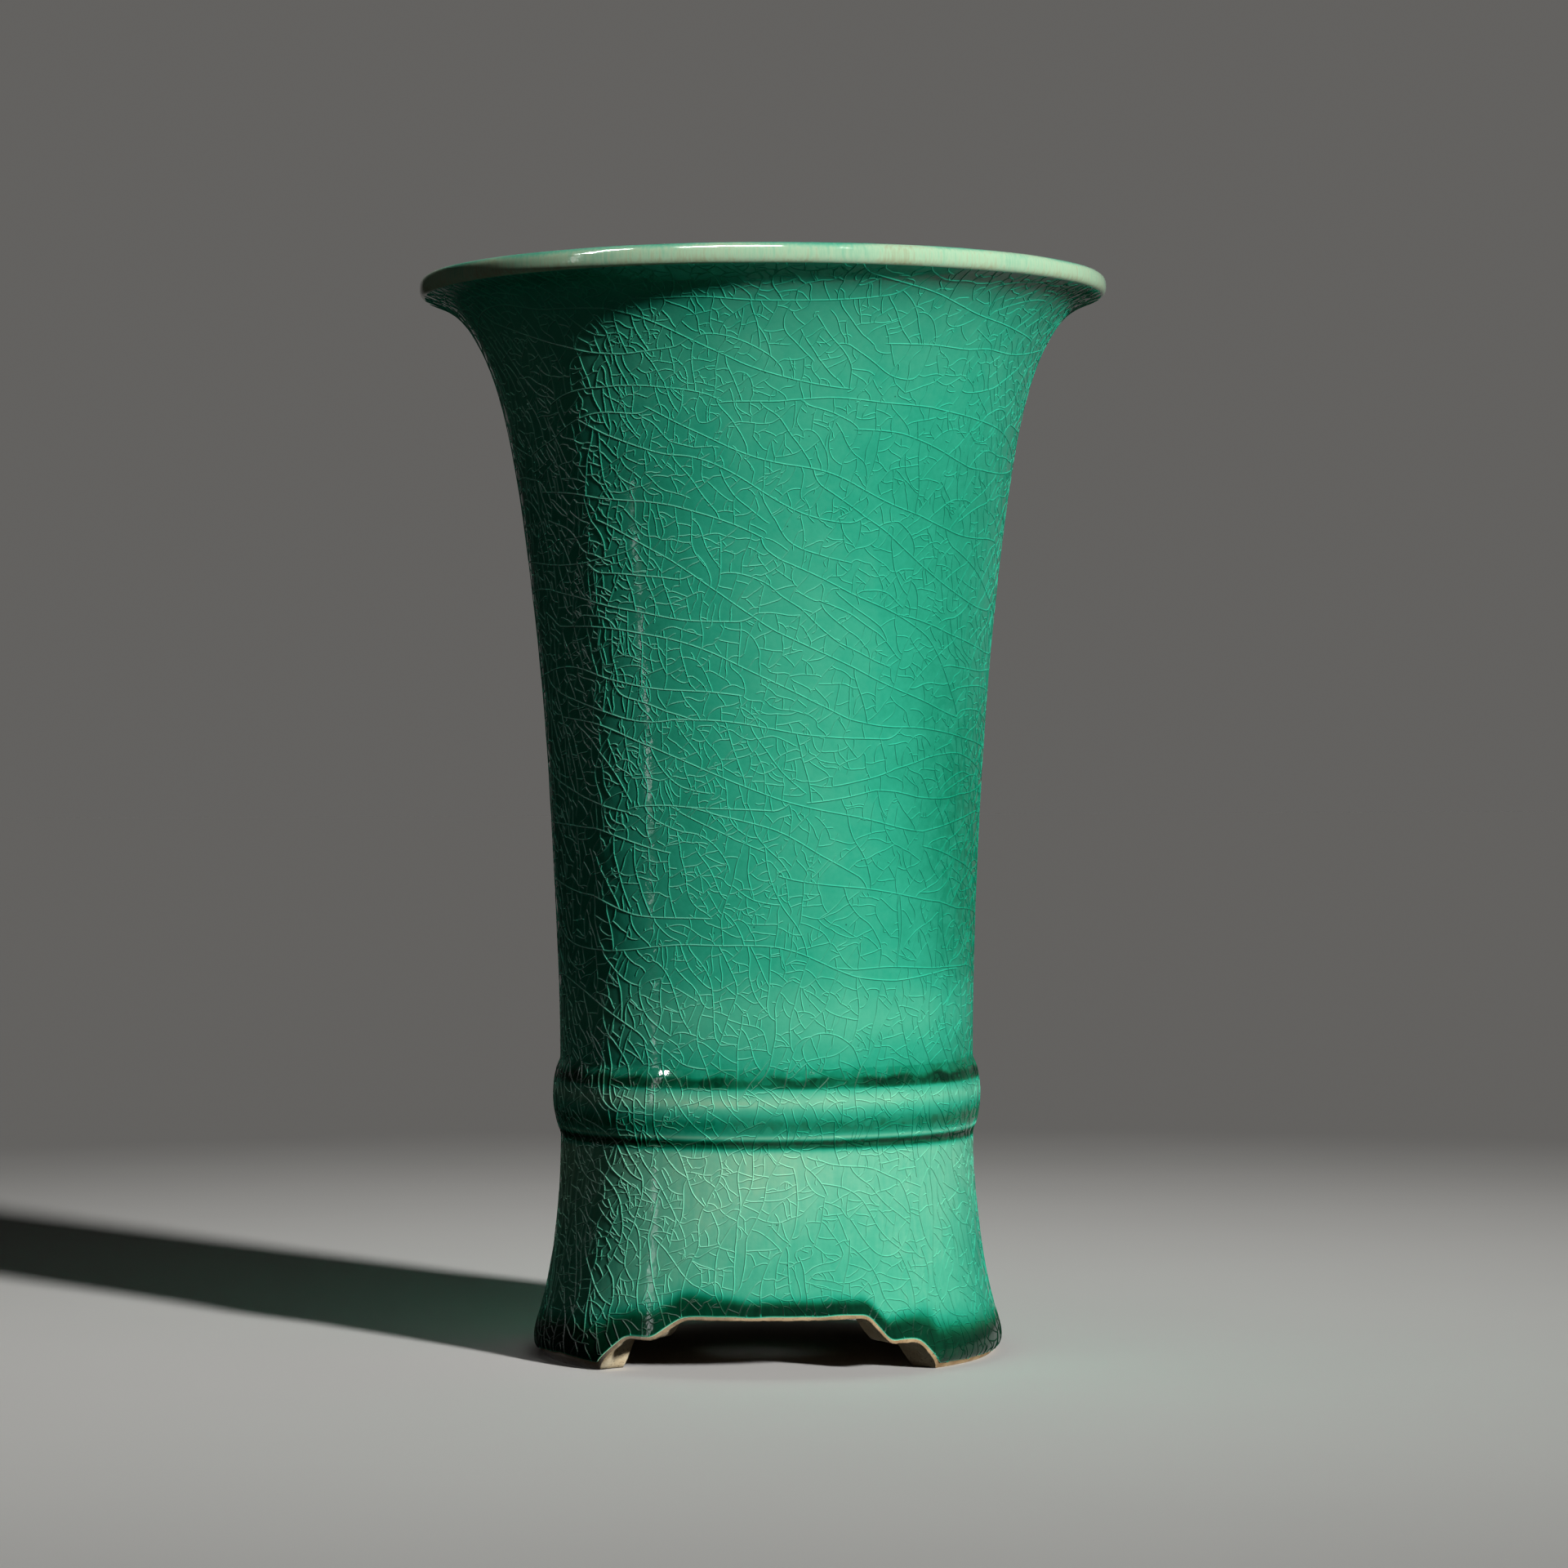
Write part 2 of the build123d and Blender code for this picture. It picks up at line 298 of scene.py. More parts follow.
# %% the height of the cut for each angle
TURN = 2 * np.pi
NOTCH_HEIGHT = 12.2
NOTCH_RIGHT = ((25.5, NOTCH_HEIGHT), (30.8, 6.4), (39.5, 6.4), (46.8, -0.6), (90, -0.6))
NOTCH_LEFT = ((21.0, NOTCH_HEIGHT), (28.5, 7.5), (36.5, 7.5), (46.8, -0.6), (90, -0.6))
WELL_RIGHT = ((26.5, NOTCH_HEIGHT), (31.5, 6.4), (40.0, 6.4), (46.0, -0.6), (90, -0.6))
WELL_LEFT = ((26.0, NOTCH_HEIGHT), (28.5, 7.5), (42.6, 7.5), (44.6, -0.6), (90, -0.6))
KNIFE_STEP = 0.1  # degrees
SPONGE = 1.1  # degrees
SPONGE_REACH = 40  # steps
fine_angle = np.radians(np.arange(-90, 90, KNIFE_STEP))
corner_bell = np.exp(
    -0.5 * (np.arange(-SPONGE_REACH, SPONGE_REACH + 1) * KNIFE_STEP / SPONGE) ** 2)


def knife_line(right, left):
    """Height of a cut over each angle from the notch's middle, its corners sponged."""
    angle = np.degrees(fine_angle)
    line = np.where(angle > 0, np.interp(angle, *zip(*right)), np.interp(-angle, *zip(*left)))
    padded = np.pad(line, SPONGE_REACH, "edge")
    return np.convolve(padded, corner_bell / corner_bell.sum(), "valid")


sponged = knife_line(NOTCH_RIGHT, NOTCH_LEFT)
sponged_well = knife_line(WELL_RIGHT, WELL_LEFT)
cut_slope = np.gradient(sponged, fine_angle * foot_radius)


def nearest_middle(theta):
    """The angle from the nearer notch's middle."""
    return (theta + TURN / 4) % (TURN / 2) - TURN / 4


def cut_height(theta, line=sponged):
    """Height of the cut above the ground at an angle round the pot; the ground is 0."""
    return np.maximum(np.interp(nearest_middle(theta), fine_angle, line), 0)


def glaze_edge(theta):
    """Height at which the glaze stops: a wiped line beside the cut, or above the ground.

    Square to a sloping cut the wiped line is as wide as over a flat one, so its height
    grows by the slope's length. Left of the front the wipe went higher up the foot.
    """
    angle = nearest_middle(theta)
    slope = np.interp(angle, fine_angle, cut_slope)
    over_cut = cut_height(theta) + 0.85 * np.sqrt(1 + slope * slope)
    uneven = 0.16 * np.sin(23 * theta) + 0.12 * np.sin(41 * theta + 1)
    high_wipe = 1.7 * np.exp(-((np.degrees(theta) % 360 - 298) / 20) ** 2)
    high_wipe = high_wipe + 0.8 * np.exp(-((np.degrees(theta) % 360 - 120) / 30) ** 2)
    over_ground = 0.75 + 0.5 * uneven + high_wipe
    return np.maximum(over_cut + 0.4 * uneven, over_ground)


turn_samples = np.linspace(-np.pi, np.pi, 2000)
print("cut up to", round(cut_height(turn_samples).max(), 2), "mm, glaze stops between",
      np.round([glaze_edge(turn_samples).min(), glaze_edge(turn_samples).max()], 2))

# %% [markdown]
# ## How thick the glaze lies
# This green is a clear coloured glass over a pale body: thin it is pale, thick it is nearly
# black-green. It runs off edges and pools in grooves, and that draws most of the pot; just
# under the lip the thickness also carries painted shade. So one function says how thick the
# coat lies at any place, from 0, wiped bare, to 1, pooled, and the material turns that into
# a colour.

# %% thickness of the coat
def front_angle(theta):
    """Degrees from the front, from -180 to 180."""
    return np.degrees((theta + np.pi) % TURN - np.pi)


def hump(x, middle, width):
    """A smooth hump of height 1 at the middle that dies away over the width."""
    return np.exp(-((x - middle) / width) ** 2)


def smooth_step(x, low, high):
    """0 below low, 1 above high, and an even S between."""
    t = np.clip((x - low) / (high - low), 0, 1)
    return t * t * (3 - 2 * t)


def slow_noise(theta, along, seed):
    """A slow unevenness round and up the pot: five sine waves in random directions."""
    draw = np.random.default_rng(seed)
    total = 0.0
    for _ in range(5):
        around, up, shift = draw.integers(1, 6), draw.normal() * 0.05, draw.uniform(0, TURN)
        total = total + np.sin(around * theta + up * along + shift)
    return total / np.sqrt(2.5)


def runs_thick(theta, height):
    """Extra thickness on the right of the front, and high up on its left."""
    angle = front_angle(theta)
    high_left = hump(angle, -28, 26) * smooth_step(height, 165, 200)
    return (0.10 * hump(angle, 82, 36) + 0.05 * high_left
            + 0.03 * hump(height, 105, 28) - 0.03 * hump(height, 155, 24))


def pool_over_band(theta, height):
    """Share of the pool that lies on the band's shoulder: sharp below, uneven above."""
    top = band_top - 2.2 + 0.3 * slow_noise(7 * theta, 0, 12)
    core = smooth_step(-height, -top - 0.7, -top + 0.5)
    skirt = smooth_step(-height, -top - 4.0, -top)
    depth = 0.8 + 0.2 * slow_noise(5 * theta, 0, 16)
    lower_edge_of_pool = smooth_step(height, band_top - 4.9, band_top - 3.9)
    return lower_edge_of_pool * (0.72 * depth * core + 0.28 * skirt)


def coat_on_band(theta, height):
    """Thin over the crest and over the lower arris, thick below the crest and in the groove."""
    crest = band_top - 7.0
    patch = hump(np.degrees(theta), -12, 17) + 0.7 * hump(np.degrees(theta), 140, 30)
    thin = 0.27 * hump(height, crest, 2.5) + 0.09 * patch * hump(height, crest - 0.8, 1.0)
    thin = thin + 0.30 * hump(height, lower_arris[1] + 0.3, 0.55)
    thick = 0.13 * hump(height, crest - 5.4, 1.6) + 0.34 * hump(height, band_bottom + 0.5, 0.8)
    return 0.60 - thin + thick + runs_thick(theta, height)


def coat_on_foot(theta, along, height):
    """Pale over the shoulder, thicker downwards, pooled over the cut and at the ground."""
    cut = cut_height(theta)
    over_edge = height - glaze_edge(theta)
    depth = 3.3 + 2.5 * smooth_step(cut, 8, 1) + 0.6 * slow_noise(theta, 0, 14)
    depth = 0.8 * np.clip(depth, 2.2, 7)
    pooled = hump(np.maximum(over_edge, depth), depth, depth)
    thickness = 0.26 + 0.12 * smooth_step(-height, -48, -18) + 0.02 * slow_noise(theta, along, 13)
    thickness = thickness + 0.58 * hump(height, band_bottom, 1.0) + 0.52 * pooled
    thickness = thickness + runs_thick(theta, height)
    return thickness * smooth_step(over_edge, -0.1, 0.45) + 0.06


def coat(theta, along):
    """Thickness of the outside coat, from 0 to 1; just under the lip it also holds painted shade.
    """
    height = np.interp(along, outside.along, outside.height)
    body = 0.56 + 0.025 * slow_noise(theta, along, 11) - 0.10 * hump(along, band_end + 11, 7)
    # Thicker, so darker, from about 10 mm below the bead and most just under it: painted shade
    # under the overhanging lip.
    body = body - 0.09 * smooth_step(height, 185, 222) + 0.05 * smooth_step(height, 226, 236)
    body = body + 0.08 * hump(along, flare_end - 3, 2.5) + runs_thick(theta, height)
    lip_way = (along - flare_end) / (crown - flare_end)
    run_back = 0.56 + 0.06 * smooth_step(np.degrees(theta), -45, 50)
    run_back = run_back + 0.05 * slow_noise(3 * theta, 0, 15)
    lip = 0.16 + 0.03 * smooth_step(lip_way, 0.1, 0.4) + 0.02 * slow_noise(5 * theta, 0, 17)
    lip = lip + 0.26 * smooth_step(lip_way, run_back, run_back + 0.34)
    pool = 0.35 * pool_over_band(theta, height)
    return np.clip(np.select(
        [along < foot_end, along < band_end, along < flare_end],
        [coat_on_foot(theta, along, height), coat_on_band(theta, height) + pool, body + pool],
        lip), 0, 1)


print("coat over the crest", np.round(coat(np.zeros(1), np.array([upper_edge])), 2))

# %% [markdown]
# ## Meshes from grids
# Each piece is a grid of points that closes round the pot, and whose last row meets its first,
# so it is a closed ring with a front and a hidden back. The columns stand closer together
# beside the notches, where the edge is steep. The bake map is laid out from the grid itself:
# angle across, rows up.

# %% columns and rows
COLUMNS = 480


def closer_columns(count):
    """Angles once round, up to twice as close beside the notches as elsewhere."""
    angle = np.linspace(-np.pi, np.pi, 4001)
    crowd = 1 + 1.1 * smooth_step(np.radians(58) - abs(nearest_middle(angle)), 0, 0.3)
    filled = np.r_[0, np.cumsum((crowd[1:] + crowd[:-1]) / 2)]
    return np.interp(np.arange(count) / count * filled[-1], filled, angle)


COLUMN_ANGLES = closer_columns(COLUMNS)
print("columns from", round(np.degrees(np.diff(COLUMN_ANGLES).min()), 2), "to",
      round(np.degrees(np.diff(COLUMN_ANGLES).max()), 2), "degrees apart")


def mesh_from(name, corners, faces, uv, normals=None, values=None, smooth=True):
    """A mesh object from points in mm and faces, with a bake map and named values."""
    mesh = bpy.data.meshes.new(name)
    size = faces.shape[1]
    mesh.vertices.add(len(corners))
    mesh.vertices.foreach_set("co", (corners * MM).astype(np.float32).ravel())
    mesh.loops.add(faces.size)
    mesh.loops.foreach_set("vertex_index", faces.astype(np.int32).ravel())
    mesh.polygons.add(len(faces))
    mesh.polygons.foreach_set("loop_start", np.arange(0, faces.size, size, dtype=np.int32))
    mesh.polygons.foreach_set("use_smooth", np.full(len(faces), smooth))
    mesh.uv_layers.new(name="OFBake").data.foreach_set("uv", uv.astype(np.float32).ravel())
    for label, (domain, value) in (values or {}).items():
        layer = mesh.attributes.new(label, "FLOAT", domain)
        layer.data.foreach_set("value", np.asarray(value, np.float32).ravel())
    mesh.update(calc_edges=True)
    if normals is not None:
        mesh.normals_split_custom_set_from_vertices(normals)
    piece = bpy.data.objects.new(name, mesh)
    bpy.context.scene.collection.objects.link(piece)
    return piece


def ring(name, grid, up_map, normals=None, values=None):
    """A closed ring from a grid of points: rows by columns, both ways round.

    Each face joins a point, its right neighbour and the two above them. up_map says where
    each row of faces starts and ends on the bake map.
    """
    rows, columns = grid.shape[:2]
    row, column = np.meshgrid(np.arange(rows), np.arange(columns), indexing="ij")
    above, beside = (row + 1) % rows, (column + 1) % columns
    faces = np.stack([row * columns + column, row * columns + beside,
                      above * columns + beside, above * columns + column], -1).reshape(-1, 4)
    across = np.stack([column, column + 1, column + 1, column], -1) / columns
    upward = up_map[:, None, [0, 0, 1, 1]] + 0 * across
    values = {label: ("POINT", value) for label, value in (values or {}).items()}
    flat = None if normals is None else normals.reshape(-1, 3)
    uv = np.stack([across, upward], -1)
    return mesh_from(name, grid.reshape(-1, 3), faces, uv, flat, values)


def stacked_map(*shares):
    """Where each row of faces lies on the bake map: (rows, low, high) for each stack."""
    runs = [np.linspace(low, high, rows + 1) for rows, low, high in shares]
    return np.concatenate([np.stack([run[:-1], run[1:]], 1) for run in runs])


# %% a shell of glaze between two lengths
FACE_DEPTH = 0.22  # the face of the glaze lies this far in, to leave room for the crackle
LIP_DEPTH = 0.10  # there is no crackle on the lip
SHELL_BACK = 0.42  # how deep the hidden side lies


def rounded_edge(depth, rows):
    """Sinks the first rows of a face to the shell's back along a quarter circle."""
    share = 1 - np.arange(rows) / rows
    depth[:rows] += ((SHELL_BACK - FACE_DEPTH) * (1 - np.sqrt(1 - share**2)))[:, None]


def face_depth(skin, along):
    """How deep the face lies: less on the lip, more where there is crackle."""
    from_lip = flare_end + 1.2 - along if skin is outside else along - 2.0
    return LIP_DEPTH + (FACE_DEPTH - LIP_DEPTH) * smooth_step(from_lip, 0, 1.2)


def back_rows(skin, along):
    """Front rows that the hidden back follows: one for each 14 mm or 5 degrees of bend."""
    middle = along[:, along.shape[1] // 2]
    out, up = np.interp(middle, skin.along, skin.out), np.interp(middle, skin.along, skin.up)
    bend = abs(np.diff(np.unwrap(np.arctan2(up, out))))
    used = np.r_[0, np.cumsum(bend / np.radians(5) + np.diff(middle) / 14)]
    return np.unique(np.searchsorted(used, np.linspace(used[-1], 0, int(used[-1]) + 3)))[::-1]


def glaze_shell(name, skin, along, coat_of, round_first=0, round_last=0):
    """A shell of glaze: face rows along the front, then a few rows back along its hidden side.

    along holds the length of every front row at every column. The given numbers of rows at
    the first and the last edge are rounded down to the clay.
    """
    theta = np.broadcast_to(COLUMN_ANGLES, along.shape)
    depth = face_depth(skin, along)
    rounded_edge(depth, round_first)
    rounded_edge(depth[::-1], round_last)
    front = skin.place(theta, along, depth)
    facing = skin.facing(theta, along, depth)
    facing[:round_first] = 0
    facing[len(along) - round_last :] = 0
    pick = np.minimum(back_rows(skin, along), len(along) - 1)
    back = skin.place(theta[pick], along[pick], SHELL_BACK)
    thickness = coat_of(theta, along)
    up_map = stacked_map((len(along) - 1, 0.06, 1), (1, 0.05, 0.056),
                         (len(pick) - 1, 0.01, 0.045), (1, 0, 0.006))
    return ring(name, np.concatenate([front, back]), up_map,
                np.concatenate([facing, np.zeros(back.shape)]),
                {"coat": np.concatenate([thickness, thickness[pick]])})


def spaced(stops):
    """Lengths from stop to stop, each run at its own spacing: (start, end, spacing), ..."""
    runs = [np.linspace(a, b, max(int(round((b - a) / gap)), 1), endpoint=False)
            for a, b, gap in stops]
    return np.r_[np.concatenate(runs), stops[-1][1]]


# %% [markdown]
# ## The glaze shells
# The coat is made in five shells that meet where the pot itself breaks: the foot, the band,
# the trumpet, the lip, and the inside down to the drain hole. Breaking it there keeps every
# shell light enough, and the seams lie in the pooled grooves where nobody can see them.

# %% shells outside
def straight(lengths):
    """The same lengths at every column."""
    return np.repeat(np.asarray(lengths)[:, None], COLUMNS, axis=1)


FOOT_ROWS = 150
foot_share = np.linspace(0, 1, FOOT_ROWS)[:, None] ** 1.25  # closer together at the edge
edge_along = outside.at_height(glaze_edge(COLUMN_ANGLES))
foot_along = edge_along + foot_share * (foot_end - edge_along)
glaze_foot = glaze_shell("glaze_foot", outside, foot_along, coat, round_first=4)
glaze_band = glaze_shell("glaze_band", outside, straight(spaced((
    (foot_end, lower_edge + 1, 0.2), (lower_edge + 1, upper_edge - 1, 0.45),
    (upper_edge - 1, band_end, 0.2)))), coat)
glaze_trumpet = glaze_shell("glaze_trumpet", outside, straight(spaced((
    (band_end, band_end + 4, 0.35), (band_end + 4, flare_end - 3, 1.35),
    (flare_end - 3, flare_end, 0.3)))), coat)
glaze_lip = glaze_shell("glaze_lip", outside, straight(spaced(((flare_end, crown, 0.2),))), coat)
print("shell faces", [len(s.data.polygons) for s in (glaze_foot, glaze_band, glaze_trumpet)])

# %% shell inside
floor_end = inside.along[-1]
corner_start = floor_end - (floor_corner[0] - DRAIN_RADIUS - DRAIN_WIPE) - 5.0


def coat_inside(theta, along):
    """Thickness of the inside coat: like the body's, thick where it ran into the corner."""
    even = 0.56 + 0.03 * slow_noise(theta, along, 21) - 0.12 * hump(along, 0.4, 1.2)
    pooled = smooth_step(along, corner_start - 14, corner_start + 4)
    bare = smooth_step(along, floor_end - 1.6, floor_end)
    return np.clip((even + 0.36 * pooled) * (1 - bare) + 0.06, 0, 1)


glaze_inside = glaze_shell("glaze_inside", inside, straight(spaced((
    (0, 3, 0.25), (3, corner_start, 2.2), (corner_start, corner_start + 6, 0.4),
    (corner_start + 6, floor_end - 1.5, 1.2), (floor_end - 1.5, floor_end, 0.3)))),
    coat_inside, round_last=4)
print("inside shell", len(glaze_inside.data.polygons), "faces")

# %% [markdown]
# ## Bare clay of the foot
# Where the knife and the wiping sponge went, the buff clay shows: a thin line beside the
# glaze, the cut faces, the standing ring and the hollow under the pot. The foot is one closed
# ring again. Its section is different at every angle, because its lower edge follows the cut.
# Grog in the clay makes the cut faces rough, so a lattice noise moves them a little.

# %% a lattice noise for rough clay
HASH_PRIMES = np.array([73856093, 19349663, 83492791])
SEED_PRIME, MIX_PRIME = 2654435761, 1274126177


def lattice_value(cell, seed):
    """A repeatable random number from 0 to 1 for each whole cell (x, y, z).

    The cell's numbers times big primes are added up, and their bits are mixed twice.
    """
    mixed = cell @ HASH_PRIMES + seed * SEED_PRIME
    mixed = (mixed ^ (mixed >> 13)) * MIX_PRIME & 0x7FFFFFFF
    return ((mixed ^ (mixed >> 16)) & 0xFFFF) / 65535


def grain(points, size, seed):
    """Smooth noise from -1 to 1: corner values of a cubic lattice, blended with an S."""
    scaled = points / size
    cell = np.floor(scaled).astype(np.int64)
    part = scaled - cell
    part = part * part * (3 - 2 * part)
    total = 0.0
    for corner in np.ndindex(2, 2, 2):
        corner = np.array(corner)
        weight = np.prod(np.where(corner, part, 1 - part), axis=-1)
        total = total + weight * lattice_value(cell + corner, seed)
    return 2 * total - 1


# %% the foot ring of clay
EDGE_ROUND = 0.28  # radius of both edges of the cut
HIDDEN_TOP = 50.0  # the clay ends here, behind the glaze
GROG_LIFT = 0.22  # how far grog and lumps lift the clay


def well_radius(height):
    """Radius of the hollow under the pot: it narrows evenly from the ground to the ledge."""
    share = np.clip(height / ledge_height, 0, 1)
    return (foot_radius - FOOT_WALL) * (1 - share) + (floor_radius - LEDGE_WIDTH) * share


FACE_ROWS, EDGE_ROWS, CUT_ROWS, WELL_ROWS = 40, 6, 24, 20


def foot_section_rows():
    """The section of the foot at every column: down the outside, over the cut, up the well."""
    cut, cut_in = cut_height(COLUMN_ANGLES), cut_height(COLUMN_ANGLES, sponged_well)
    start, start_in = cut + EDGE_ROUND, cut_in + EDGE_ROUND
    fall = np.linspace(0, 1, FACE_ROWS)[:, None] ** 0.6
    height = HIDDEN_TOP + fall * (start - HIDDEN_TOP)
    length = outside.at_height(height)
    clay = outside.place(COLUMN_ANGLES, length, GLAZE_COAT)
    face_radius, face_height = np.hypot(clay[..., 0], clay[..., 1]), clay[..., 2]
    face_height[-1] = start
    quarter = np.radians(np.linspace(0, 90, EDGE_ROWS)[1:])[:, None]
    outer, inner = face_radius[-1] - EDGE_ROUND, well_radius(start_in) + EDGE_ROUND
    level = np.linspace(0, 1, CUT_ROWS)[1:-1, None]
    climb = np.linspace(0, 1, WELL_ROWS)[1:, None]
    well = start_in + climb * (ledge_height - start_in)
    level_line = np.ones(COLUMNS)
    radius = np.concatenate([
        face_radius, outer + EDGE_ROUND * np.cos(quarter), outer + level * (inner - outer),
        inner - EDGE_ROUND * np.sin(quarter - quarter[0]), well_radius(well),
        [floor_radius * level_line, floor_radius * level_line],
    ])
    height = np.concatenate([
        face_height, start - EDGE_ROUND * np.sin(quarter), cut + level * (cut_in - cut),
        start_in - EDGE_ROUND * np.cos(quarter - quarter[0]), well,
        [ledge_height * level_line, HIDDEN_TOP * level_line],
    ])
    return radius, height


def roughen(radius, height, theta, share):
    """Moves a surface up by its grain: fine grog, and lumps where the knife dragged it."""
    points = np.stack([radius * np.sin(theta), -radius * np.cos(theta), height], -1)
    fine = np.maximum(grain(points, 0.75, 3), -0.2)
    lumps = grain(points, 2.6, 4)
    points[..., 2] += share * GROG_LIFT * (fine + np.maximum(lumps, 0))
    return points


foot_radii, foot_heights = foot_section_rows()
CUT_MIDDLE = FACE_ROWS + EDGE_ROWS - 1 + CUT_ROWS // 2 - 1  # the middle row of the cut's face
under_face = smooth_step(np.abs(np.arange(len(foot_radii)) - CUT_MIDDLE), 17, 11)[:, None]
above_ground = smooth_step(cut_height(COLUMN_ANGLES), 0.1, 2.0)
foot_points = roughen(foot_radii, foot_heights, COLUMN_ANGLES,
                      under_face * (0.25 + 0.75 * above_ground))
foot_points[..., 2] = np.maximum(foot_points[..., 2], 0)
foot_clay = ring("foot_clay", foot_points[::-1], stacked_map((len(foot_points), 0, 1)),
                 values={"cut": np.broadcast_to(under_face, foot_radii.shape)[::-1]})
print("foot of clay", len(foot_clay.data.polygons), "faces")

# %% the floor slab, turned on its underside
DRAIN_EDGE = 0.8  # radius of the drain hole's edges
SLAB_TOP = floor_height - 0.02
SLAB_ROWS, TOP_ROWS, TURNING_MARK = 70, 14, 2.6


def floor_slab():
    """The slab's section: along its turned underside, up, back over the top, down the drain."""
    hole, wall_side = DRAIN_RADIUS + DRAIN_EDGE, floor_radius - 0.05
    out = np.linspace(hole, wall_side, SLAB_ROWS)
    turned = 0.09 * (1 + np.sin(TURN * out / TURNING_MARK + 0.8 * np.sin(out / 5)))
    top = np.linspace(wall_side, hole, TOP_ROWS)
    quarter = np.radians(np.linspace(0, 90, EDGE_ROWS))
    drain_top = (DRAIN_RADIUS + DRAIN_EDGE * (1 - np.sin(quarter)),
                 SLAB_TOP - DRAIN_EDGE * (1 - np.cos(quarter)))
    drain_foot = (drain_top[0][::-1], ledge_height + DRAIN_EDGE * (1 - np.cos(quarter[::-1])))
    radius = np.concatenate([out, top, drain_top[0][1:], drain_foot[0][:-1]])
    height = np.concatenate([ledge_height + turned, np.full(len(top), SLAB_TOP),
                             drain_top[1][1:], drain_foot[1][:-1]])
    return radius[:, None] + 0 * COLUMN_ANGLES, height[:, None] + 0 * COLUMN_ANGLES


slab_radii, slab_heights = floor_slab()
slab_share = (slab_heights < ledge_height + 1) * 0.5
floor_clay = ring("floor_clay", roughen(slab_radii, slab_heights, COLUMN_ANGLES, slab_share),
                  stacked_map((len(slab_radii), 0, 1)), values={"cut": 0 * slab_radii})
print("floor slab", len(floor_clay.data.polygons), "faces")

# %% [markdown]
# ## Crackle
# Glass that shrinks more than the clay under it cracks. Cracks do not all come at once: a few
# long ones run first, round the pot, then steep curved ones between them, then short ones
# that meet their neighbours squarely, because the pull along a crack is gone beside it. Last
# come hooked spurs that die in the open. Drawing cells with a Voronoi texture misses all of
# this, so the cracks are grown here in that order. The glaze is unrolled into a flat map that
# keeps angles, every growing tip takes a small step at a time, all tips together, and a tip
# stops where it meets a crack that is already there.

# %% the unrolled glaze
AROUND = 1536
CELL = TURN / AROUND  # one cell of the map, in radians
TIP_STEP = 0.6  # a tip moves this share of a cell at a time
SHORTEST = 0.7  # cracks shorter than this are dropped, in mm


class CrackMap:
    """A skin unrolled so that angles are kept: one cell is as tall as it is wide."""

    def __init__(self, skin, seed):
        """The rows are steps of length divided by radius, which is what keeps the angles."""
        step = np.diff(skin.along) / ((skin.radius[1:] + skin.radius[:-1]) / 2)
        self.skin, self.climb = skin, np.r_[0, np.cumsum(step)]
        self.rows = int(self.climb[-1] / CELL)
        middle = (np.arange(self.rows) + 0.5) * CELL
        self.radius = np.interp(middle, self.climb, skin.radius)
        self.height = np.interp(middle, self.climb, skin.height)
        self.taken = np.zeros((self.rows, AROUND), np.int32)
        self.outside_map = np.zeros((self.rows, AROUND), bool)
        self.draw, self.next_crack, self.grown = np.random.default_rng(seed), 1, []

    def cell(self, around, climb):
        """Row and column of the cell under a place."""
        row = np.clip((climb / CELL).astype(int), 0, self.rows - 1)
        return row, (around / CELL).astype(int) % AROUND

    def clearance(self, reach):
        """Distance from each cell to the nearest crack, in cells, up to a reach.

        First the distance along each row, then the shortest root of squares over the rows.
        """
        along = np.where((self.taken != 0) | self.outside_map, 0, reach + 1).astype(np.float32)
        for _ in range(reach):
            along = np.minimum(along, 1 + np.minimum(np.roll(along, 1, 1), np.roll(along, -1, 1)))
        square = along**2
        best = square.copy()
        for rows in range(1, reach + 1):
            np.minimum(best[rows:], square[:-rows] + rows * rows, out=best[rows:])
            np.minimum(best[:-rows], square[rows:] + rows * rows, out=best[:-rows])
        return np.sqrt(best)

    def open_places(self, count, apart, clear):
        """Random places at least so far from any crack, in mm, and not close to each other."""
        row = self.draw.integers(0, self.rows, count * 14)
        column = self.draw.integers(0, AROUND, count * 14)
        radius = self.radius[row]
        wanted = apart * crack_spacing((column + 0.5) * CELL, self.height[row])
        fair = self.draw.random(len(row)) < (radius / mouth_radius) ** 2
        fair &= (clear[row, column] * CELL * radius > wanted) & ~self.outside_map[row, column]
        row, column = row[fair], column[fair]
        block = max(int(apart * 1.6 / (CELL * 52)), 1)
        _, first = np.unique(row // block * AROUND + column // block, return_index=True)
        first = self.draw.permutation(first)[:count]
        return (column[first] + 0.5) * CELL, (row[first] + 0.5) * CELL


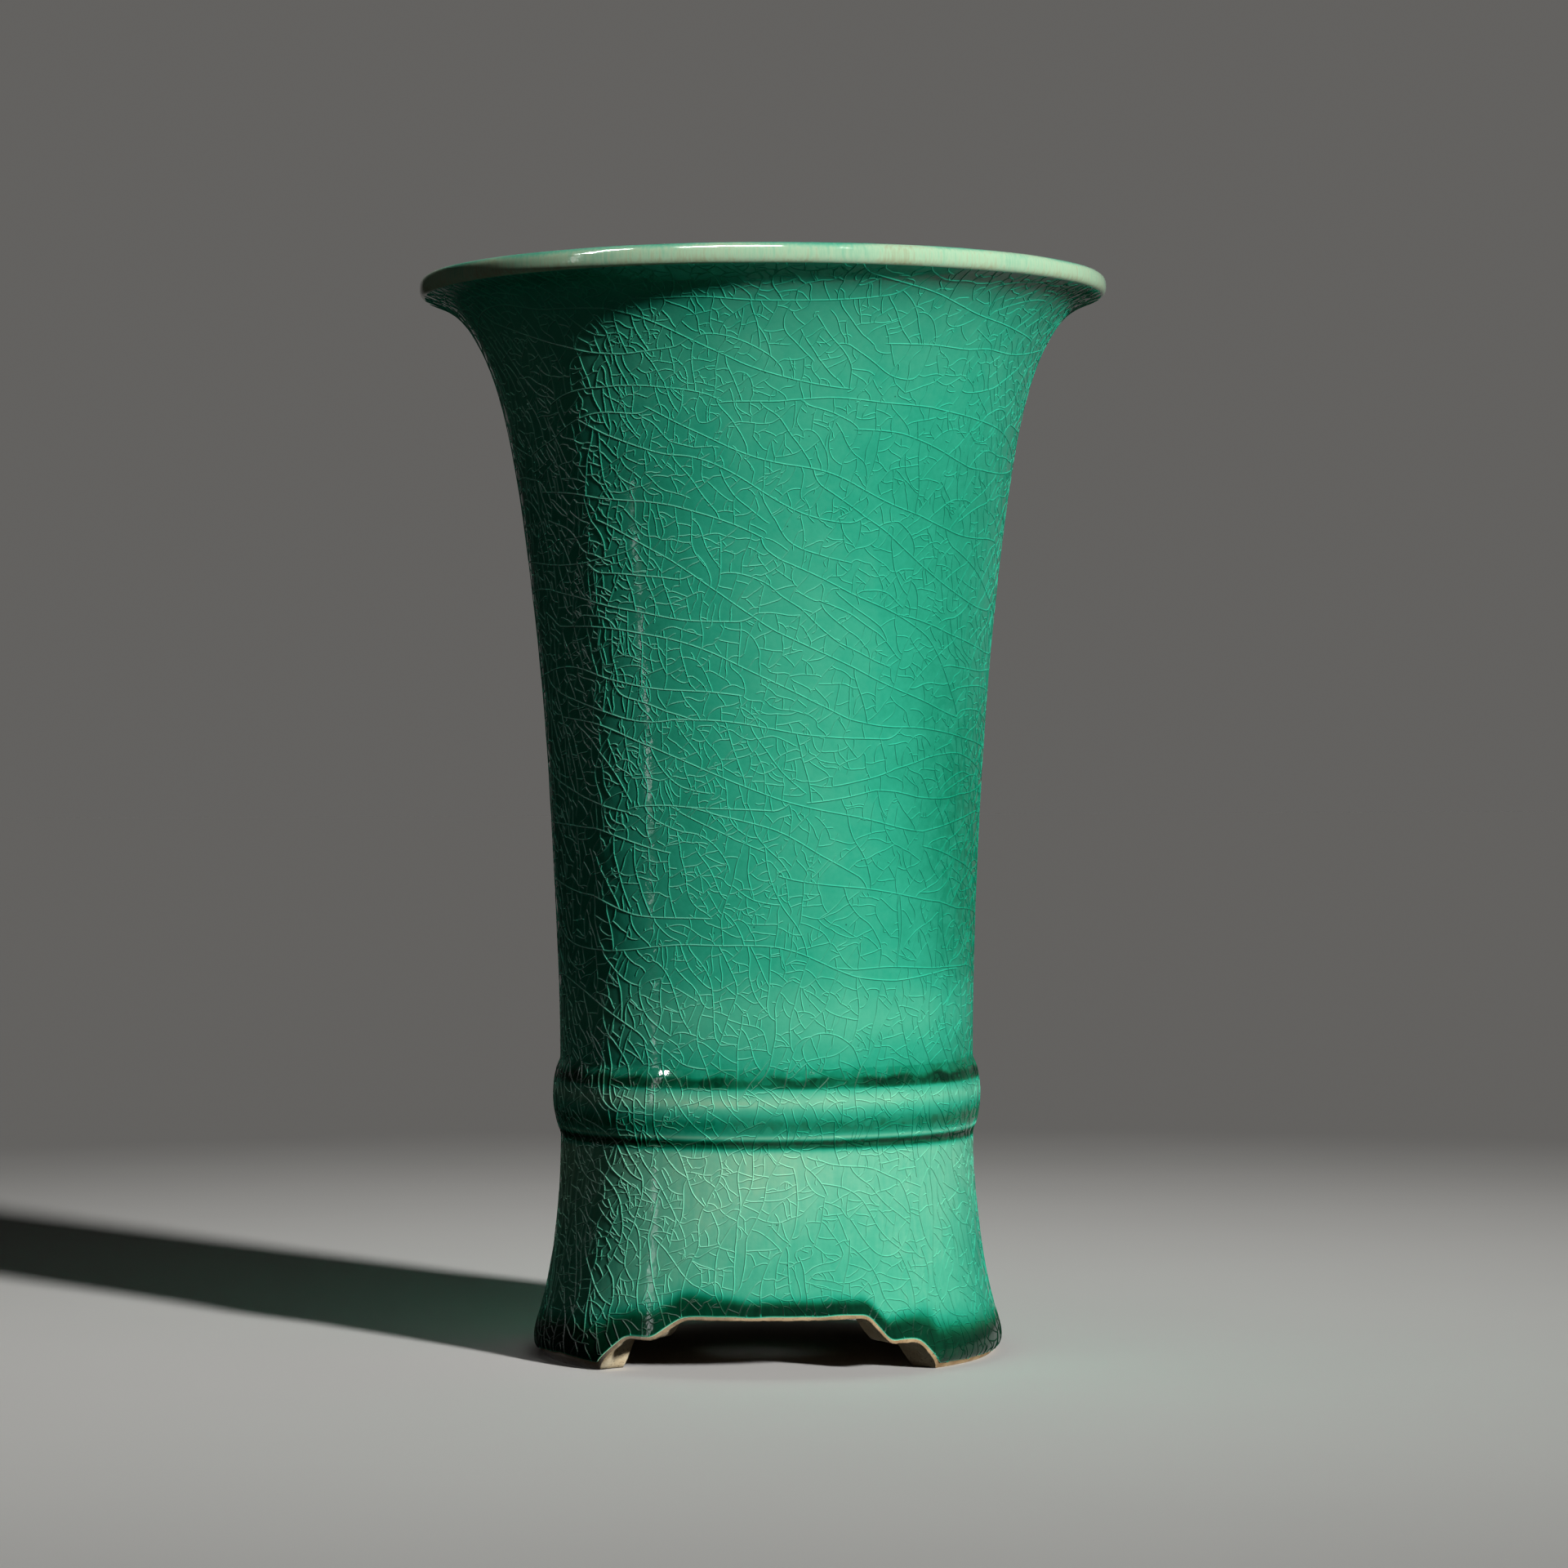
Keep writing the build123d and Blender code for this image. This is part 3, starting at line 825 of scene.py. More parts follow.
# %% growing a batch of cracks
def grow(crack_map, places, heading, length, look, both_ways=True, grace=0):
    """Grows one crack from each place and keeps its points.

    Each tip turns by a bend that drifts at random, by sudden kinks, by a pull towards the run
    of its kind, and, close to an older crack, by a pull square onto it. It stops on a crack,
    at the edge of the glaze, or at its length.
    """
    if not len(places[0]):
        return
    draw, count = crack_map.draw, len(places[0])
    crack = crack_map.next_crack + np.arange(count)
    crack_map.next_crack += count
    ways = 2 if both_ways else 1
    around, climb = np.tile(places[0], ways), np.tile(places[1], ways)
    turn = np.r_[heading, heading + np.pi] if both_ways else heading.copy()
    owner, limit = np.tile(crack, ways), np.tile(length / ways, ways)
    bend = look["curl"] * draw.standard_normal(len(owner))
    run, ended, free = np.zeros(len(owner)), np.zeros(len(owner), int), np.ones(len(owner), bool)
    clear = crack_map.clearance(look["feel"]) if look["feel"] else None
    slopes = np.gradient(clear) if look["feel"] else None
    alive, step, places_kept = np.arange(len(owner)), 0, [(around.copy(), climb.copy())]
    while len(alive):
        step += 1
        row, column = crack_map.cell(around[alive], climb[alive])
        pace = TIP_STEP * CELL * crack_map.radius[row]
        share = pace / look["drift"]
        bend[alive] += (look["curl"] * np.sqrt(2 * share) * draw.standard_normal(len(alive))
                        - share * bend[alive])
        change = bend[alive] * pace
        kinked = draw.random(len(alive)) < look["kinks"] * pace
        change += kinked * draw.normal(0, look["kink"], len(alive))
        if look["run"]:
            way = look["run"](around[alive], crack_map.height[row])
            change += look["follow"] * pace * np.sin(2 * (way - turn[alive])) / 2
        if look["feel"]:
            square_on = np.arctan2(-slopes[0][row, column], -slopes[1][row, column])
            ahead = (np.cos(square_on - turn[alive]) > 0) & (clear[row, column] < look["feel"])
            change += ahead * look["hook"] * pace * np.sin(square_on - turn[alive])
        turn[alive] += change
        around[alive] += TIP_STEP * CELL * np.cos(turn[alive])
        climb[alive] += TIP_STEP * CELL * np.sin(turn[alive])
        run[alive] += pace
        new_row, new_column = crack_map.cell(around[alive], climb[alive])
        there = crack_map.taken[new_row, new_column]
        met = (there != 0) & (there != owner[alive]) & (step > grace)
        met |= (climb[alive] < CELL) | (climb[alive] > (crack_map.rows - 1) * CELL)
        met |= crack_map.outside_map[new_row, new_column]
        crack_map.taken[new_row[~met], new_column[~met]] = owner[alive][~met]
        beside = ~met & (crack_map.taken[row, new_column] == 0)
        crack_map.taken[row[beside], new_column[beside]] = owner[alive][beside]
        stopped = met | (run[alive] > limit[alive])
        free[alive[met]] = False
        ended[alive[stopped]] = step
        alive = alive[~stopped]
        if step % look["every"] == 0 or not len(alive):
            places_kept.append((around.copy(), climb.copy()))
    keep_cracks(crack_map, places_kept, ended, free, run, crack, look, both_ways)


def keep_cracks(crack_map, places_kept, ended, free, run, crack, look, both_ways):
    """Puts the two halves of each crack end to end and keeps its points in order."""
    around, climb = [np.stack(side, 1) for side in zip(*places_kept)]
    used = np.arange(around.shape[1]) <= -(-ended // look["every"])[:, None]
    start_free, end_free, total = np.zeros(len(crack), bool), free, run
    if both_ways:
        half = len(crack)
        around, climb, used = [np.concatenate([side[half:, :0:-1], side[:half]], 1)
                               for side in (around, climb, used)]
        start_free, end_free, total = free[half:], free[:half], run[:half] + run[half:]
    used &= (total > SHORTEST)[:, None]
    number = np.broadcast_to(crack[:, None], used.shape)[used]
    first, last = np.r_[True, np.diff(number) != 0], np.r_[np.diff(number) != 0, True]
    tip = np.zeros(len(number), bool)
    tip[first], tip[last] = start_free[used.any(1)], end_free[used.any(1)]
    size = np.full(len(number), look["size"])
    crack_map.grown.append((around[used], climb[used], number, size, tip))


# %% where cracks lie close, and which way they run
def crack_spacing(theta, height):
    """How much wider apart than usual the cracks lie at a place."""
    angle = front_angle(theta)
    base = np.interp(angle, [-180, -90, -40, -5, 20, 45, 75, 180],
                     [1.1, 1, 0.85, 0.95, 1.25, 1.2, 0.95, 1.1])
    return base * (1 + 0.22 * slow_noise(theta, height, 31))


def level_run(theta, height):
    """The long cracks run nearly level and fall a little to the right, in slow waves."""
    return np.radians(-9 + 9 * slow_noise(theta, 0.5 * height, 32))


def steep_run(theta, height):
    """Upright at the left, falling in the middle, climbing to the right; upright low down."""
    angle = front_angle(theta)
    high = np.interp(angle, [-180, -120, -60, -25, 5, 30, 50, 80, 130, 180],
                     [-100, -115, -88, -75, -50, -40, -148, -150, -120, -100])
    share = np.clip((height - 75) / 35, 0, 1)
    return np.radians(-86 * (1 - share) + high * share
                      + 14 * slow_noise(theta, height, 33))


# %% the kinds of crack, in the order in which they come
LONG = {"run": level_run, "follow": 0.05, "drift": 12, "curl": 0.018, "hook": 0.25,
        "feel": 14, "every": 9, "size": 1.0, "kinks": 0.05, "kink": 0.10}
STEEP = {"run": steep_run, "follow": 0.07, "drift": 7, "curl": 0.085, "hook": 0.35,
         "feel": 8, "every": 7, "size": 0.9, "kinks": 0.08, "kink": 0.22}
CROSS = {"run": None, "drift": 2.5, "curl": 0.14, "hook": 1.0, "feel": 6, "every": 5,
         "size": 0.75, "kinks": 0.12, "kink": 0.45}
SPUR = {"run": None, "drift": 1.2, "curl": 0.45, "feel": 0, "every": 4, "size": 0.7,
        "kinks": 0.2, "kink": 0.6}


def spurs(crack_map, count, shortest, longest, look):
    """Short hooked cracks that leave older ones squarely and die in the open.

    The way across a crack is the main direction in which the map changes around it.
    """
    row, column = np.nonzero(crack_map.taken)
    pick = crack_map.draw.permutation(len(row))[: 3 * count]
    fair = crack_map.draw.random(len(pick)) < crack_map.radius[row[pick]] / mouth_radius
    row, column = row[pick][fair][:count], column[pick][fair][:count]
    blurred = block_sum((crack_map.taken != 0).astype(np.float32), (-2, -1, 0, 1, 2))
    up, right = np.gradient(blurred)
    across = block_sum(right * right - up * up, (-2, 0, 2))[row, column]
    mixed = block_sum(right * up, (-2, 0, 2))[row, column]
    draw = crack_map.draw
    heading = (0.5 * np.arctan2(2 * mixed, across) + np.pi * draw.integers(0, 2, len(row))
               + draw.normal(0, 0.5, len(row)))
    places = (column + 0.5) * CELL, (row + 0.5) * CELL
    grow(crack_map, places, heading, draw.uniform(shortest, longest, len(row)), look,
         both_ways=False, grace=5)


def block_sum(grid, shifts):
    """The sum of a map over its neighbours at the given shifts both ways."""
    return sum(np.roll(np.roll(grid, a, 0), b, 1) for a in shifts for b in shifts)


def crackle(crack_map, thinning, long_above):
    """All the kinds in order, each in batches that fill the gaps left so far.

    The long ones run on the body only: round the foot and the band every crack is short.
    """
    draw, whole = crack_map.draw, crack_map.outside_map
    crack_map.outside_map = whole | (crack_map.height < long_above)[:, None]
    for count, apart in ((10, 6), (10, 6), (12, 6), (14, 5), (14, 5), (14, 4.5)):
        places = crack_map.open_places(count, apart * thinning, crack_map.clearance(36))
        heading = level_run(places[0], 0 * places[0]) + draw.normal(0, 0.1, len(places[0]))
        grow(crack_map, places, heading, draw.uniform(60, 170, len(places[0])), LONG)
    crack_map.outside_map = whole
    for count, apart in ((50, 3.6), (70, 3.4), (100, 3.0), (130, 2.7), (170, 2.4), (200, 2.2)):
        places = crack_map.open_places(count, apart * thinning, crack_map.clearance(24))
        row, _ = crack_map.cell(*places)
        heading = steep_run(places[0], crack_map.height[row])
        heading = heading + draw.normal(0, 0.35, len(row))
        grow(crack_map, places, heading, draw.uniform(12, 60, len(row)), STEEP)
    for count, apart, length in ((900, 1.7, 24), (1350, 1.3, 20), (1950, 1.0, 16),
                                 (2600, 0.82, 13), (3100, 0.66, 9)):
        clear = crack_map.clearance(16)
        places = crack_map.open_places(int(count / thinning**2), apart * thinning, clear)
        row, column = crack_map.cell(*places)
        up, right = [slope[row, column] for slope in np.gradient(clear)]
        heading = np.arctan2(-up, -right) + draw.normal(0, 0.45, len(row))
        grow(crack_map, places, heading, draw.uniform(0.6, 1, len(row)) * length, CROSS)
    spurs(crack_map, int(5200 / thinning**2), 0.7, 2.8, SPUR)
    spurs(crack_map, int(1500 / thinning**2), 0.5, 1.4, {**SPUR, "curl": 0.9})


outside_map = CrackMap(outside, 7)
map_angle = (np.arange(AROUND) + 0.5) * CELL
lowest = np.interp(outside.at_height(glaze_edge(map_angle)), outside.along, outside_map.climb)
highest = np.interp(flare_end - 0.5, outside.along, outside_map.climb)
row_climb = np.arange(outside_map.rows)[:, None] * CELL
outside_map.outside_map = (row_climb < lowest + CELL) | (row_climb > highest)
crackle(outside_map, 1.0, band_top + 5)
print("cracks outside", outside_map.next_crack)

# %% [markdown]
# ## Crack lines as ribs
# Seen close, each crack is a fine rib with a lit side and a shaded side. A bump texture this
# fine would vanish in a baked map, so each crack is a thin three-sided rib that lies in the
# glaze: a left edge, a crest and a right edge at every kept point, joined along the crack.

# %% ribs from the kept points
RIB_HALF_WIDTH = 0.32
RIB_RISE = 0.12
RIB_ROOT = 0.05  # the edges of a rib lie this far under the face
# LIT_WAY also sets which side of a rib gets the painted highlight and which the painted shade.
LIT_WAY = np.array([0.45, 0.89])  # the side of a crack that catches the light: right and up


def crack_lines(crack_map):
    """All kept points in one line-up, with the direction of the crack at each."""
    around, climb, crack, size, tip = [np.concatenate(part) for part in zip(*crack_map.grown)]
    linked = crack[1:] == crack[:-1]
    step = np.stack([np.diff(around), np.diff(climb)], -1) * linked[:, None]
    heading = np.zeros((len(crack), 2))
    heading[:-1] += step
    heading[1:] += step
    heading /= np.linalg.norm(heading, axis=1, keepdims=True) + 1e-12
    return around, climb, crack, size, tip, heading, linked


def ribs(name, crack_map, coat_of, low, high):
    """The ribs of every crack whose middle lies between two lengths along the skin."""
    around, climb, crack, size, tip, heading, linked = crack_lines(crack_map)
    along = np.interp(climb, crack_map.climb, crack_map.skin.along)
    middle = np.bincount(crack, along) / np.maximum(np.bincount(crack), 1)
    used = (middle[crack] >= low) & (middle[crack] < high)
    number = np.cumsum(used) - 1
    start = np.flatnonzero(linked & used[:-1])
    start_row = number[start]
    around, along, climb = around[used], along[used], climb[used]
    crack, size, tip, heading = crack[used], size[used], tip[used], heading[used]
    taper = np.where(tip, 0.15, 1.0)
    radius = np.interp(climb, crack_map.climb, crack_map.skin.radius)
    half = RIB_HALF_WIDTH * (0.55 + 0.45 * size) * taper
    rise = RIB_RISE * (0.45 + 0.55 * size) * (0.3 + 0.7 * taper)
    left = np.stack([-heading[:, 1], heading[:, 0]], 1)
    points = []
    root = FACE_DEPTH + RIB_ROOT
    for side, depth in ((1, root), (0, FACE_DEPTH - rise), (-1, root)):
        shifted = around + side * half * left[:, 0] / radius
        length = along + side * half * left[:, 1]
        points.append(crack_map.skin.place(shifted, length, depth))
    corners = np.stack(points, 1).reshape(-1, 3)
    a, b = 3 * start_row, 3 * start_row + 3
    flanks = [np.stack(face, 1) for face in (
        (a, a + 1, b + 1), (a, b + 1, b), (a + 1, a + 2, b + 2), (a + 1, b + 2, b + 1),
        (a + 2, a, b), (a + 2, b, b + 2))]
    lit_left = (left * LIT_WAY).sum(1)[start_row]
    lit = [lit_left, lit_left, -lit_left, -lit_left, 0 * lit_left, 0 * lit_left]
    first = 3 * np.flatnonzero(np.r_[True, np.diff(crack) != 0])
    last = 3 * np.flatnonzero(np.r_[np.diff(crack) != 0, True])
    caps = [np.stack([first, first + 2, first + 1], 1), np.stack([last, last + 1, last + 2], 1)]
    faces = np.concatenate(flanks + caps)
    lit = np.concatenate(lit + [np.zeros(2 * len(first))])
    whole_turns = np.floor(np.bincount(crack, around)
                           / np.maximum(np.bincount(crack), 1) / TURN)
    turned = np.repeat(whole_turns[crack], 3)
    across = np.repeat(around, 3) / TURN - turned
    upward = (np.repeat(along, 3) - low) / (high - low)
    uv = np.stack([across[faces], np.clip(upward[faces], 0, 1)], -1)
    values = {"coat": ("POINT", np.repeat(coat_of(around, along), 3)), "lit": ("FACE", lit)}
    return mesh_from(name, corners, faces, uv, values=values, smooth=False)


def rib_pieces(crack_map, coat_of, names, bounds):
    """One piece of ribs between each two bounds, so that no piece grows too heavy."""
    return [ribs(name, crack_map, coat_of, low, high)
            for name, low, high in zip(names, bounds[:-1], bounds[1:])]


crackle_outside = rib_pieces(
    outside_map, coat, ("crackle_foot", "crackle_band", "crackle_low", "crackle_middle",
                        "crackle_high", "crackle_flare"),
    (0, 50, 72, band_end + 60, band_end + 108, band_end + 148, flare_end))
print("rib faces", [len(piece.data.polygons) for piece in crackle_outside])

# %% crackle inside
inside_map = CrackMap(inside, 19)
INSIDE_THINNING = 1.9  # the cracks lie this much wider apart inside
crackle(inside_map, INSIDE_THINNING, floor_height + 12)
crackle_inside = rib_pieces(
    inside_map, coat_inside, ("crackle_mouth", "crackle_throat", "crackle_floor"),
    (0, 95, 165, floor_end + 1))
print("rib faces inside", [len(piece.data.polygons) for piece in crackle_inside])

# %% [markdown]
# ## Writing materials as sums
# A material is a graph of nodes, but most of it is arithmetic. One small class wraps a
# socket so that plain expressions build the graph, and one method makes every other node.

# %% sockets that can be added and multiplied
class Wire:
    """An output socket. Adding or multiplying it adds a Math node to its material."""

    def __init__(self, finish, socket):
        self.finish, self.socket = finish, socket

    def math(self, operation, *values):
        return self.finish.node("ShaderNodeMath", {"operation": operation}, values)

    def __add__(self, other):
        return self.math("ADD", self, other)

    def __mul__(self, other):
        return self.math("MULTIPLY", self, other)

    def __sub__(self, other):
        return self.math("SUBTRACT", self, other)

    def __rsub__(self, other):
        return self.math("SUBTRACT", other, self)

    def __truediv__(self, other):
        return self.math("DIVIDE", self, other)

    __radd__, __rmul__ = __add__, __mul__

    def step(self, low, high):
        """0 at low, 1 at high, with an even S between; low may be the larger."""
        return self.finish.node("ShaderNodeMapRange", {"interpolation_type": "SMOOTHSTEP"},
                                (self, low, high, 0.0, 1.0))


class Graph:
    """A node tree under work."""

    def __init__(self, tree):
        self.tree = tree

    def node(self, kind, settings=None, inputs=(), output=0):
        """Makes a node: its settings first, then the values or links of its sockets."""
        made = self.tree.nodes.new(kind)
        for key, value in (settings or {}).items():
            if key == "stops":
                self.set_stops(made.color_ramp, value)
            else:
                setattr(made, key, value)
        for key, value in inputs.items() if isinstance(inputs, dict) else enumerate(inputs):
            self.fill(made.inputs[key], value)
        return Wire(self, made.outputs[output])

    def fill(self, socket, value):
        """Links a wire to a socket, or sets the socket to a plain value."""
        if isinstance(value, Wire):
            self.tree.links.new(value.socket, socket)
        else:
            socket.default_value = value

    def set_stops(self, ramp, stops):
        """Puts colours at places along a ramp."""
        for place, colour in stops[1:-1]:
            ramp.elements.new(place).color = colour
        for end, (place, colour) in ((0, stops[0]), (-1, stops[-1])):
            ramp.elements[end].position, ramp.elements[end].color = place, colour

    def blend(self, share, first, second):
        """One colour at share 0, the other at share 1."""
        return self.node("ShaderNodeMix", {"data_type": "RGBA"}, {0: share, 6: first, 7: second},
                         output=2)


class Finish(Graph):
    """A material under work: its nodes, its shader and the place on the pot in millimetres."""

    def __init__(self, name):
        self.material = bpy.data.materials.new(name)
        self.material.use_nodes = True
        super().__init__(self.material.node_tree)
        self.shader = self.tree.nodes["Principled BSDF"]
        place = self.node("ShaderNodeTexCoord", output="Object")
        self.place = self.node("ShaderNodeVectorMath", {"operation": "SCALE"},
                               {0: place, "Scale": 1 / MM})

    def value(self, label):
        """A value that the piece carries on its points or faces."""
        return self.node("ShaderNodeAttribute", {"attribute_name": label}, output="Fac")

    def noise(self, size, detail=2.0, place=None):
        """Cloudy noise from 0 to 1 with lumps about size millimetres across."""
        return self.node("ShaderNodeTexNoise", None,
                         {"Vector": place or self.place, "Scale": 1 / size, "Detail": detail})

    def cells(self, size, output=0):
        """Voronoi cells about size millimetres across: the distance to a middle, or a colour."""
        return self.node("ShaderNodeTexVoronoi", None,
                         {"Vector": self.place, "Scale": 1 / size}, output)

    def bump(self, height, strength, distance):
        """A normal tilted by a height; the distance is in metres."""
        return self.node("ShaderNodeBump", None,
                         {"Strength": strength, "Distance": distance, "Height": height})

    def feed(self, **sockets):
        """Sets or links the shader's sockets; Base_Color stands for Base Color."""
        for key, value in sockets.items():
            self.fill(self.shader.inputs[key.replace("_", " ")], value)


def paint(red, green, blue):
    """A colour given as it looks on a screen, from 0 to 255, as the light it stands for."""
    shown = np.array([red, green, blue]) / 255
    light = np.where(shown <= 0.04045, shown / 12.92, ((shown + 0.055) / 1.055) ** 2.4)
    return (*light.tolist(), 1.0)


# %% [markdown]
# ## The green glaze
# The thickness that each piece carries picks the colour. The edge of a pool follows the
# crackle, so little patches push the thickness up or down there. A fine mottle, a few
# pinholes and an orange-peel surface do the rest, and a low roughness gives the sharp shine
# of glass wherever there is glass.

# %% the green glaze
GREEN_BY_THICKNESS = (
    (0.00, paint(206, 182, 142)), (0.08, paint(180, 184, 142)), (0.18, paint(188, 224, 186)),
    (0.26, paint(150, 212, 174)), (0.34, paint(120, 204, 168)), (0.44, paint(84, 190, 154)),
    (0.56, paint(48, 172, 138)), (0.68, paint(18, 142, 108)), (0.80, paint(8, 106, 73)),
    (0.91, paint(4, 72, 46)), (1.00, paint(0, 46, 29)))


def glaze_thickness(finish, streaks, streak_width, patches):
    """The carried thickness, with mottle, patches at the edge of a pool, and streaks."""
    thickness = finish.value("coat")
    mottle = (finish.noise(7.0) - 0.5) * 0.09 + (finish.noise(1.1, 3.0) - 0.5) * 0.07
    mottle = mottle * thickness.step(0.10, 0.30)
    if patches:
        cell = finish.node("ShaderNodeSeparateColor", None, (finish.cells(1.5, "Color"),))
        mottle = mottle + (cell - 0.5) * patches * thickness.step(0.58, 0.72)
    if streaks:
        flat = finish.node("ShaderNodeVectorMath", {"operation": "MULTIPLY"},
                           (finish.place, (1.0, 1.0, 0.1)))
        mottle = mottle + (finish.noise(streak_width, 2.0, flat) - 0.5) * streaks
    return thickness + mottle


def glaze_finish(name, streaks=0.0, streak_width=1.0, patches=0.0, ribbed=False):
    """The green glaze: colour by thickness, shine where there is glass, dull where bare."""
    finish = Finish(name)
    thickness = glaze_thickness(finish, streaks, streak_width, patches)
    colour = finish.node("ShaderNodeValToRGB", {"stops": GREEN_BY_THICKNESS}, (thickness,))
    pinhole = finish.cells(6.0).step(0.040, 0.022)
    colour = finish.blend(pinhole * 0.7, colour, paint(0, 62, 44))
    glassy = thickness.step(0.05, 0.14)
    roughness, gloss = 0.82 - 0.74 * glassy, 0.28
    if ribbed:
        lit = finish.value("lit")
        # Painted light on the ribs: the side facing right and up is painted lighter, a painted
        # highlight, and the other side darker, painted shade.
        painted_light_and_shade = 1.05 + lit.step(-0.1, 0.8) * 0.30 - lit.step(0.2, -0.7) * 0.42
        colour = finish.node("ShaderNodeVectorMath", {"operation": "SCALE"},
                             {0: colour, "Scale": painted_light_and_shade})
        roughness, gloss = 0.82 - 0.3 * glassy, 0.10
    peel = finish.noise(2.4, 1.0) + finish.noise(0.5, 1.0) * 0.25
    finish.feed(Base_Color=colour, Roughness=roughness, Specular_IOR_Level=gloss,
                Normal=finish.bump(peel, 1.0, 0.00004))
    return finish.material


pot_glaze = glaze_finish("pot_glaze", patches=0.10)
foot_glaze = glaze_finish("foot_glaze", streaks=0.10, streak_width=1.3)
lip_glaze = glaze_finish("lip_glaze", streaks=0.20, streak_width=0.6)
rib_glaze = glaze_finish("rib_glaze", ribbed=True)

# %% [markdown]
# ## Bare clay
# The body is a pale buff stoneware. It is cream on the cut faces and browner everywhere
# else, and it holds fine dark specks of iron and open pores.

# %% bare clay
def clay_finish(name):
    """Buff clay: cream on the cuts, browner elsewhere, with specks, pores and grain."""
    finish = Finish(name)
    cut = finish.value("cut")
    cloud = finish.noise(5.0, 3.0)
    cream = finish.blend(cloud.step(0.35, 0.65), paint(232, 217, 184), paint(220, 198, 158))
    brown = finish.blend(cloud.step(0.35, 0.65), paint(188, 160, 120), paint(158, 128, 92))
    colour = finish.blend(cut, brown, cream)
    speck = finish.cells(1.5).step(0.20, 0.10)
    colour = finish.blend(speck * 0.55, colour, paint(110, 84, 58))
    pores = finish.noise(0.45, 3.0)
    colour = finish.blend(pores.step(0.42, 0.30) * 0.6, colour, paint(120, 96, 68))
    grain_height = pores + finish.noise(1.6, 2.0)
    finish.feed(Base_Color=colour, Roughness=0.9 - 0.1 * cloud,
                Normal=finish.bump(grain_height, 0.6, 0.00018))
    return finish.material


bare_clay = clay_finish("bare_clay")

# %% putting the finishes on
def finished(piece, material, *nodes):
    """Gives a piece its material and slot, makes it ride, and hides what it stands for."""
    piece.data.materials.append(material)
    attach(piece, "root")
    if nodes:
        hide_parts(*nodes)


for shell in (glaze_band, glaze_trumpet):
    finished(shell, pot_glaze, "outer_glaze")
finished(glaze_foot, foot_glaze, "outer_glaze")
finished(glaze_lip, lip_glaze, "outer_glaze")
finished(glaze_inside, pot_glaze, "inner_glaze")
finished(foot_clay, bare_clay, "foot_section")
finished(floor_clay, bare_clay, "floor_plate")
for piece in crackle_outside + crackle_inside:
    finished(piece, rib_glaze)
for node in ("trumpet_body", "waist_band"):
    frame["nodes"][node].data.materials.clear()
    frame["nodes"][node].data.materials.append(bare_clay)

# %% [markdown]
# ## Floor, light and camera
# A plain pale floor runs out to a surround of its own brightness, so nothing competes with
# the pot. One far lamp stands right of the camera, so the left of the pot falls into shade,
# and a second one behind the pot lights the pot alone. A tall narrow lamp far to the left
# draws one faint upright line on the glaze, and three more draw the glints.

# %% floor and surround
KEY_AZIMUTH, KEY_HEIGHT = 41, 22
KEY_STRENGTH = 3.5
SURROUND_LIGHT = 0.06
FLOOR_PAINT = paint(240, 238, 234)
SURROUND_PAINT = paint(146, 144, 141)
FLOOR_BOUNCE = 0.06  # share of its light that the floor throws back
FLOOR_REACH = 12000.0
# Painted dark reflection: seen only in the glaze, the floor and surround turn dark on the left, so
# the shaded side of the pot stays dark.
DARK_REFLECTION_PAINT = paint(20, 20, 20)
DARK_REFLECTION_SPAN = (-0.22, -0.40)  # how far left a direction points where the dark begins and is full


def ray_is(graph, *ways):
    """1 where the ray is of one of the given kinds, and 0 elsewhere."""
    tests = [graph.node("ShaderNodeLightPath", output=f"Is {way} Ray") for way in ways]
    while len(tests) > 1:
        tests.append(graph.node("ShaderNodeMath", {"operation": "MAXIMUM"},
                                (tests.pop(0), tests.pop(0))))
    return tests[0]


def stage_floor():
    """A wide flat floor with a faint mottle, a single face of four corners.

    It throws less light back at the pot than it shows, as dark cloth beside the pot would.
    Its left side is dark where the glaze mirrors it, so the shaded side stays dark.
    """
    corners = FLOOR_REACH * np.array([[-1, -1, 0], [1, -1, 0], [1, 1, 0], [-1, 1, 0]])
    uv = np.array([[0, 0], [1, 0], [1, 1], [0, 1]])
    floor = mesh_from("floor", corners, np.array([[0, 1, 2, 3]]), uv)
    finish = Finish("pale_floor")
    away = finish.node("ShaderNodeVectorMath", {"operation": "LENGTH"}, (finish.place,),
                       output="Value")
    fade = away.step(110.0, 700.0) + finish.noise(90.0, 2.0) * 0.05
    colour = finish.blend(fade, FLOOR_PAINT, SURROUND_PAINT)
    sideways = finish.node("ShaderNodeSeparateXYZ", None, (finish.place,)) / away
    dark_reflection = ray_is(finish, "Glossy") * sideways.step(*DARK_REFLECTION_SPAN)
    shown = finish.blend(dark_reflection, colour, DARK_REFLECTION_PAINT)
    bounce = [FLOOR_BOUNCE * c for c in FLOOR_PAINT[:3]] + [1.0]
    seen = ray_is(finish, "Camera", "Glossy", "Transmission")
    finish.feed(Base_Color=finish.blend(seen, bounce, shown), Roughness=0.9,
                Specular_IOR_Level=0.0)
    floor.data.materials.append(finish.material)


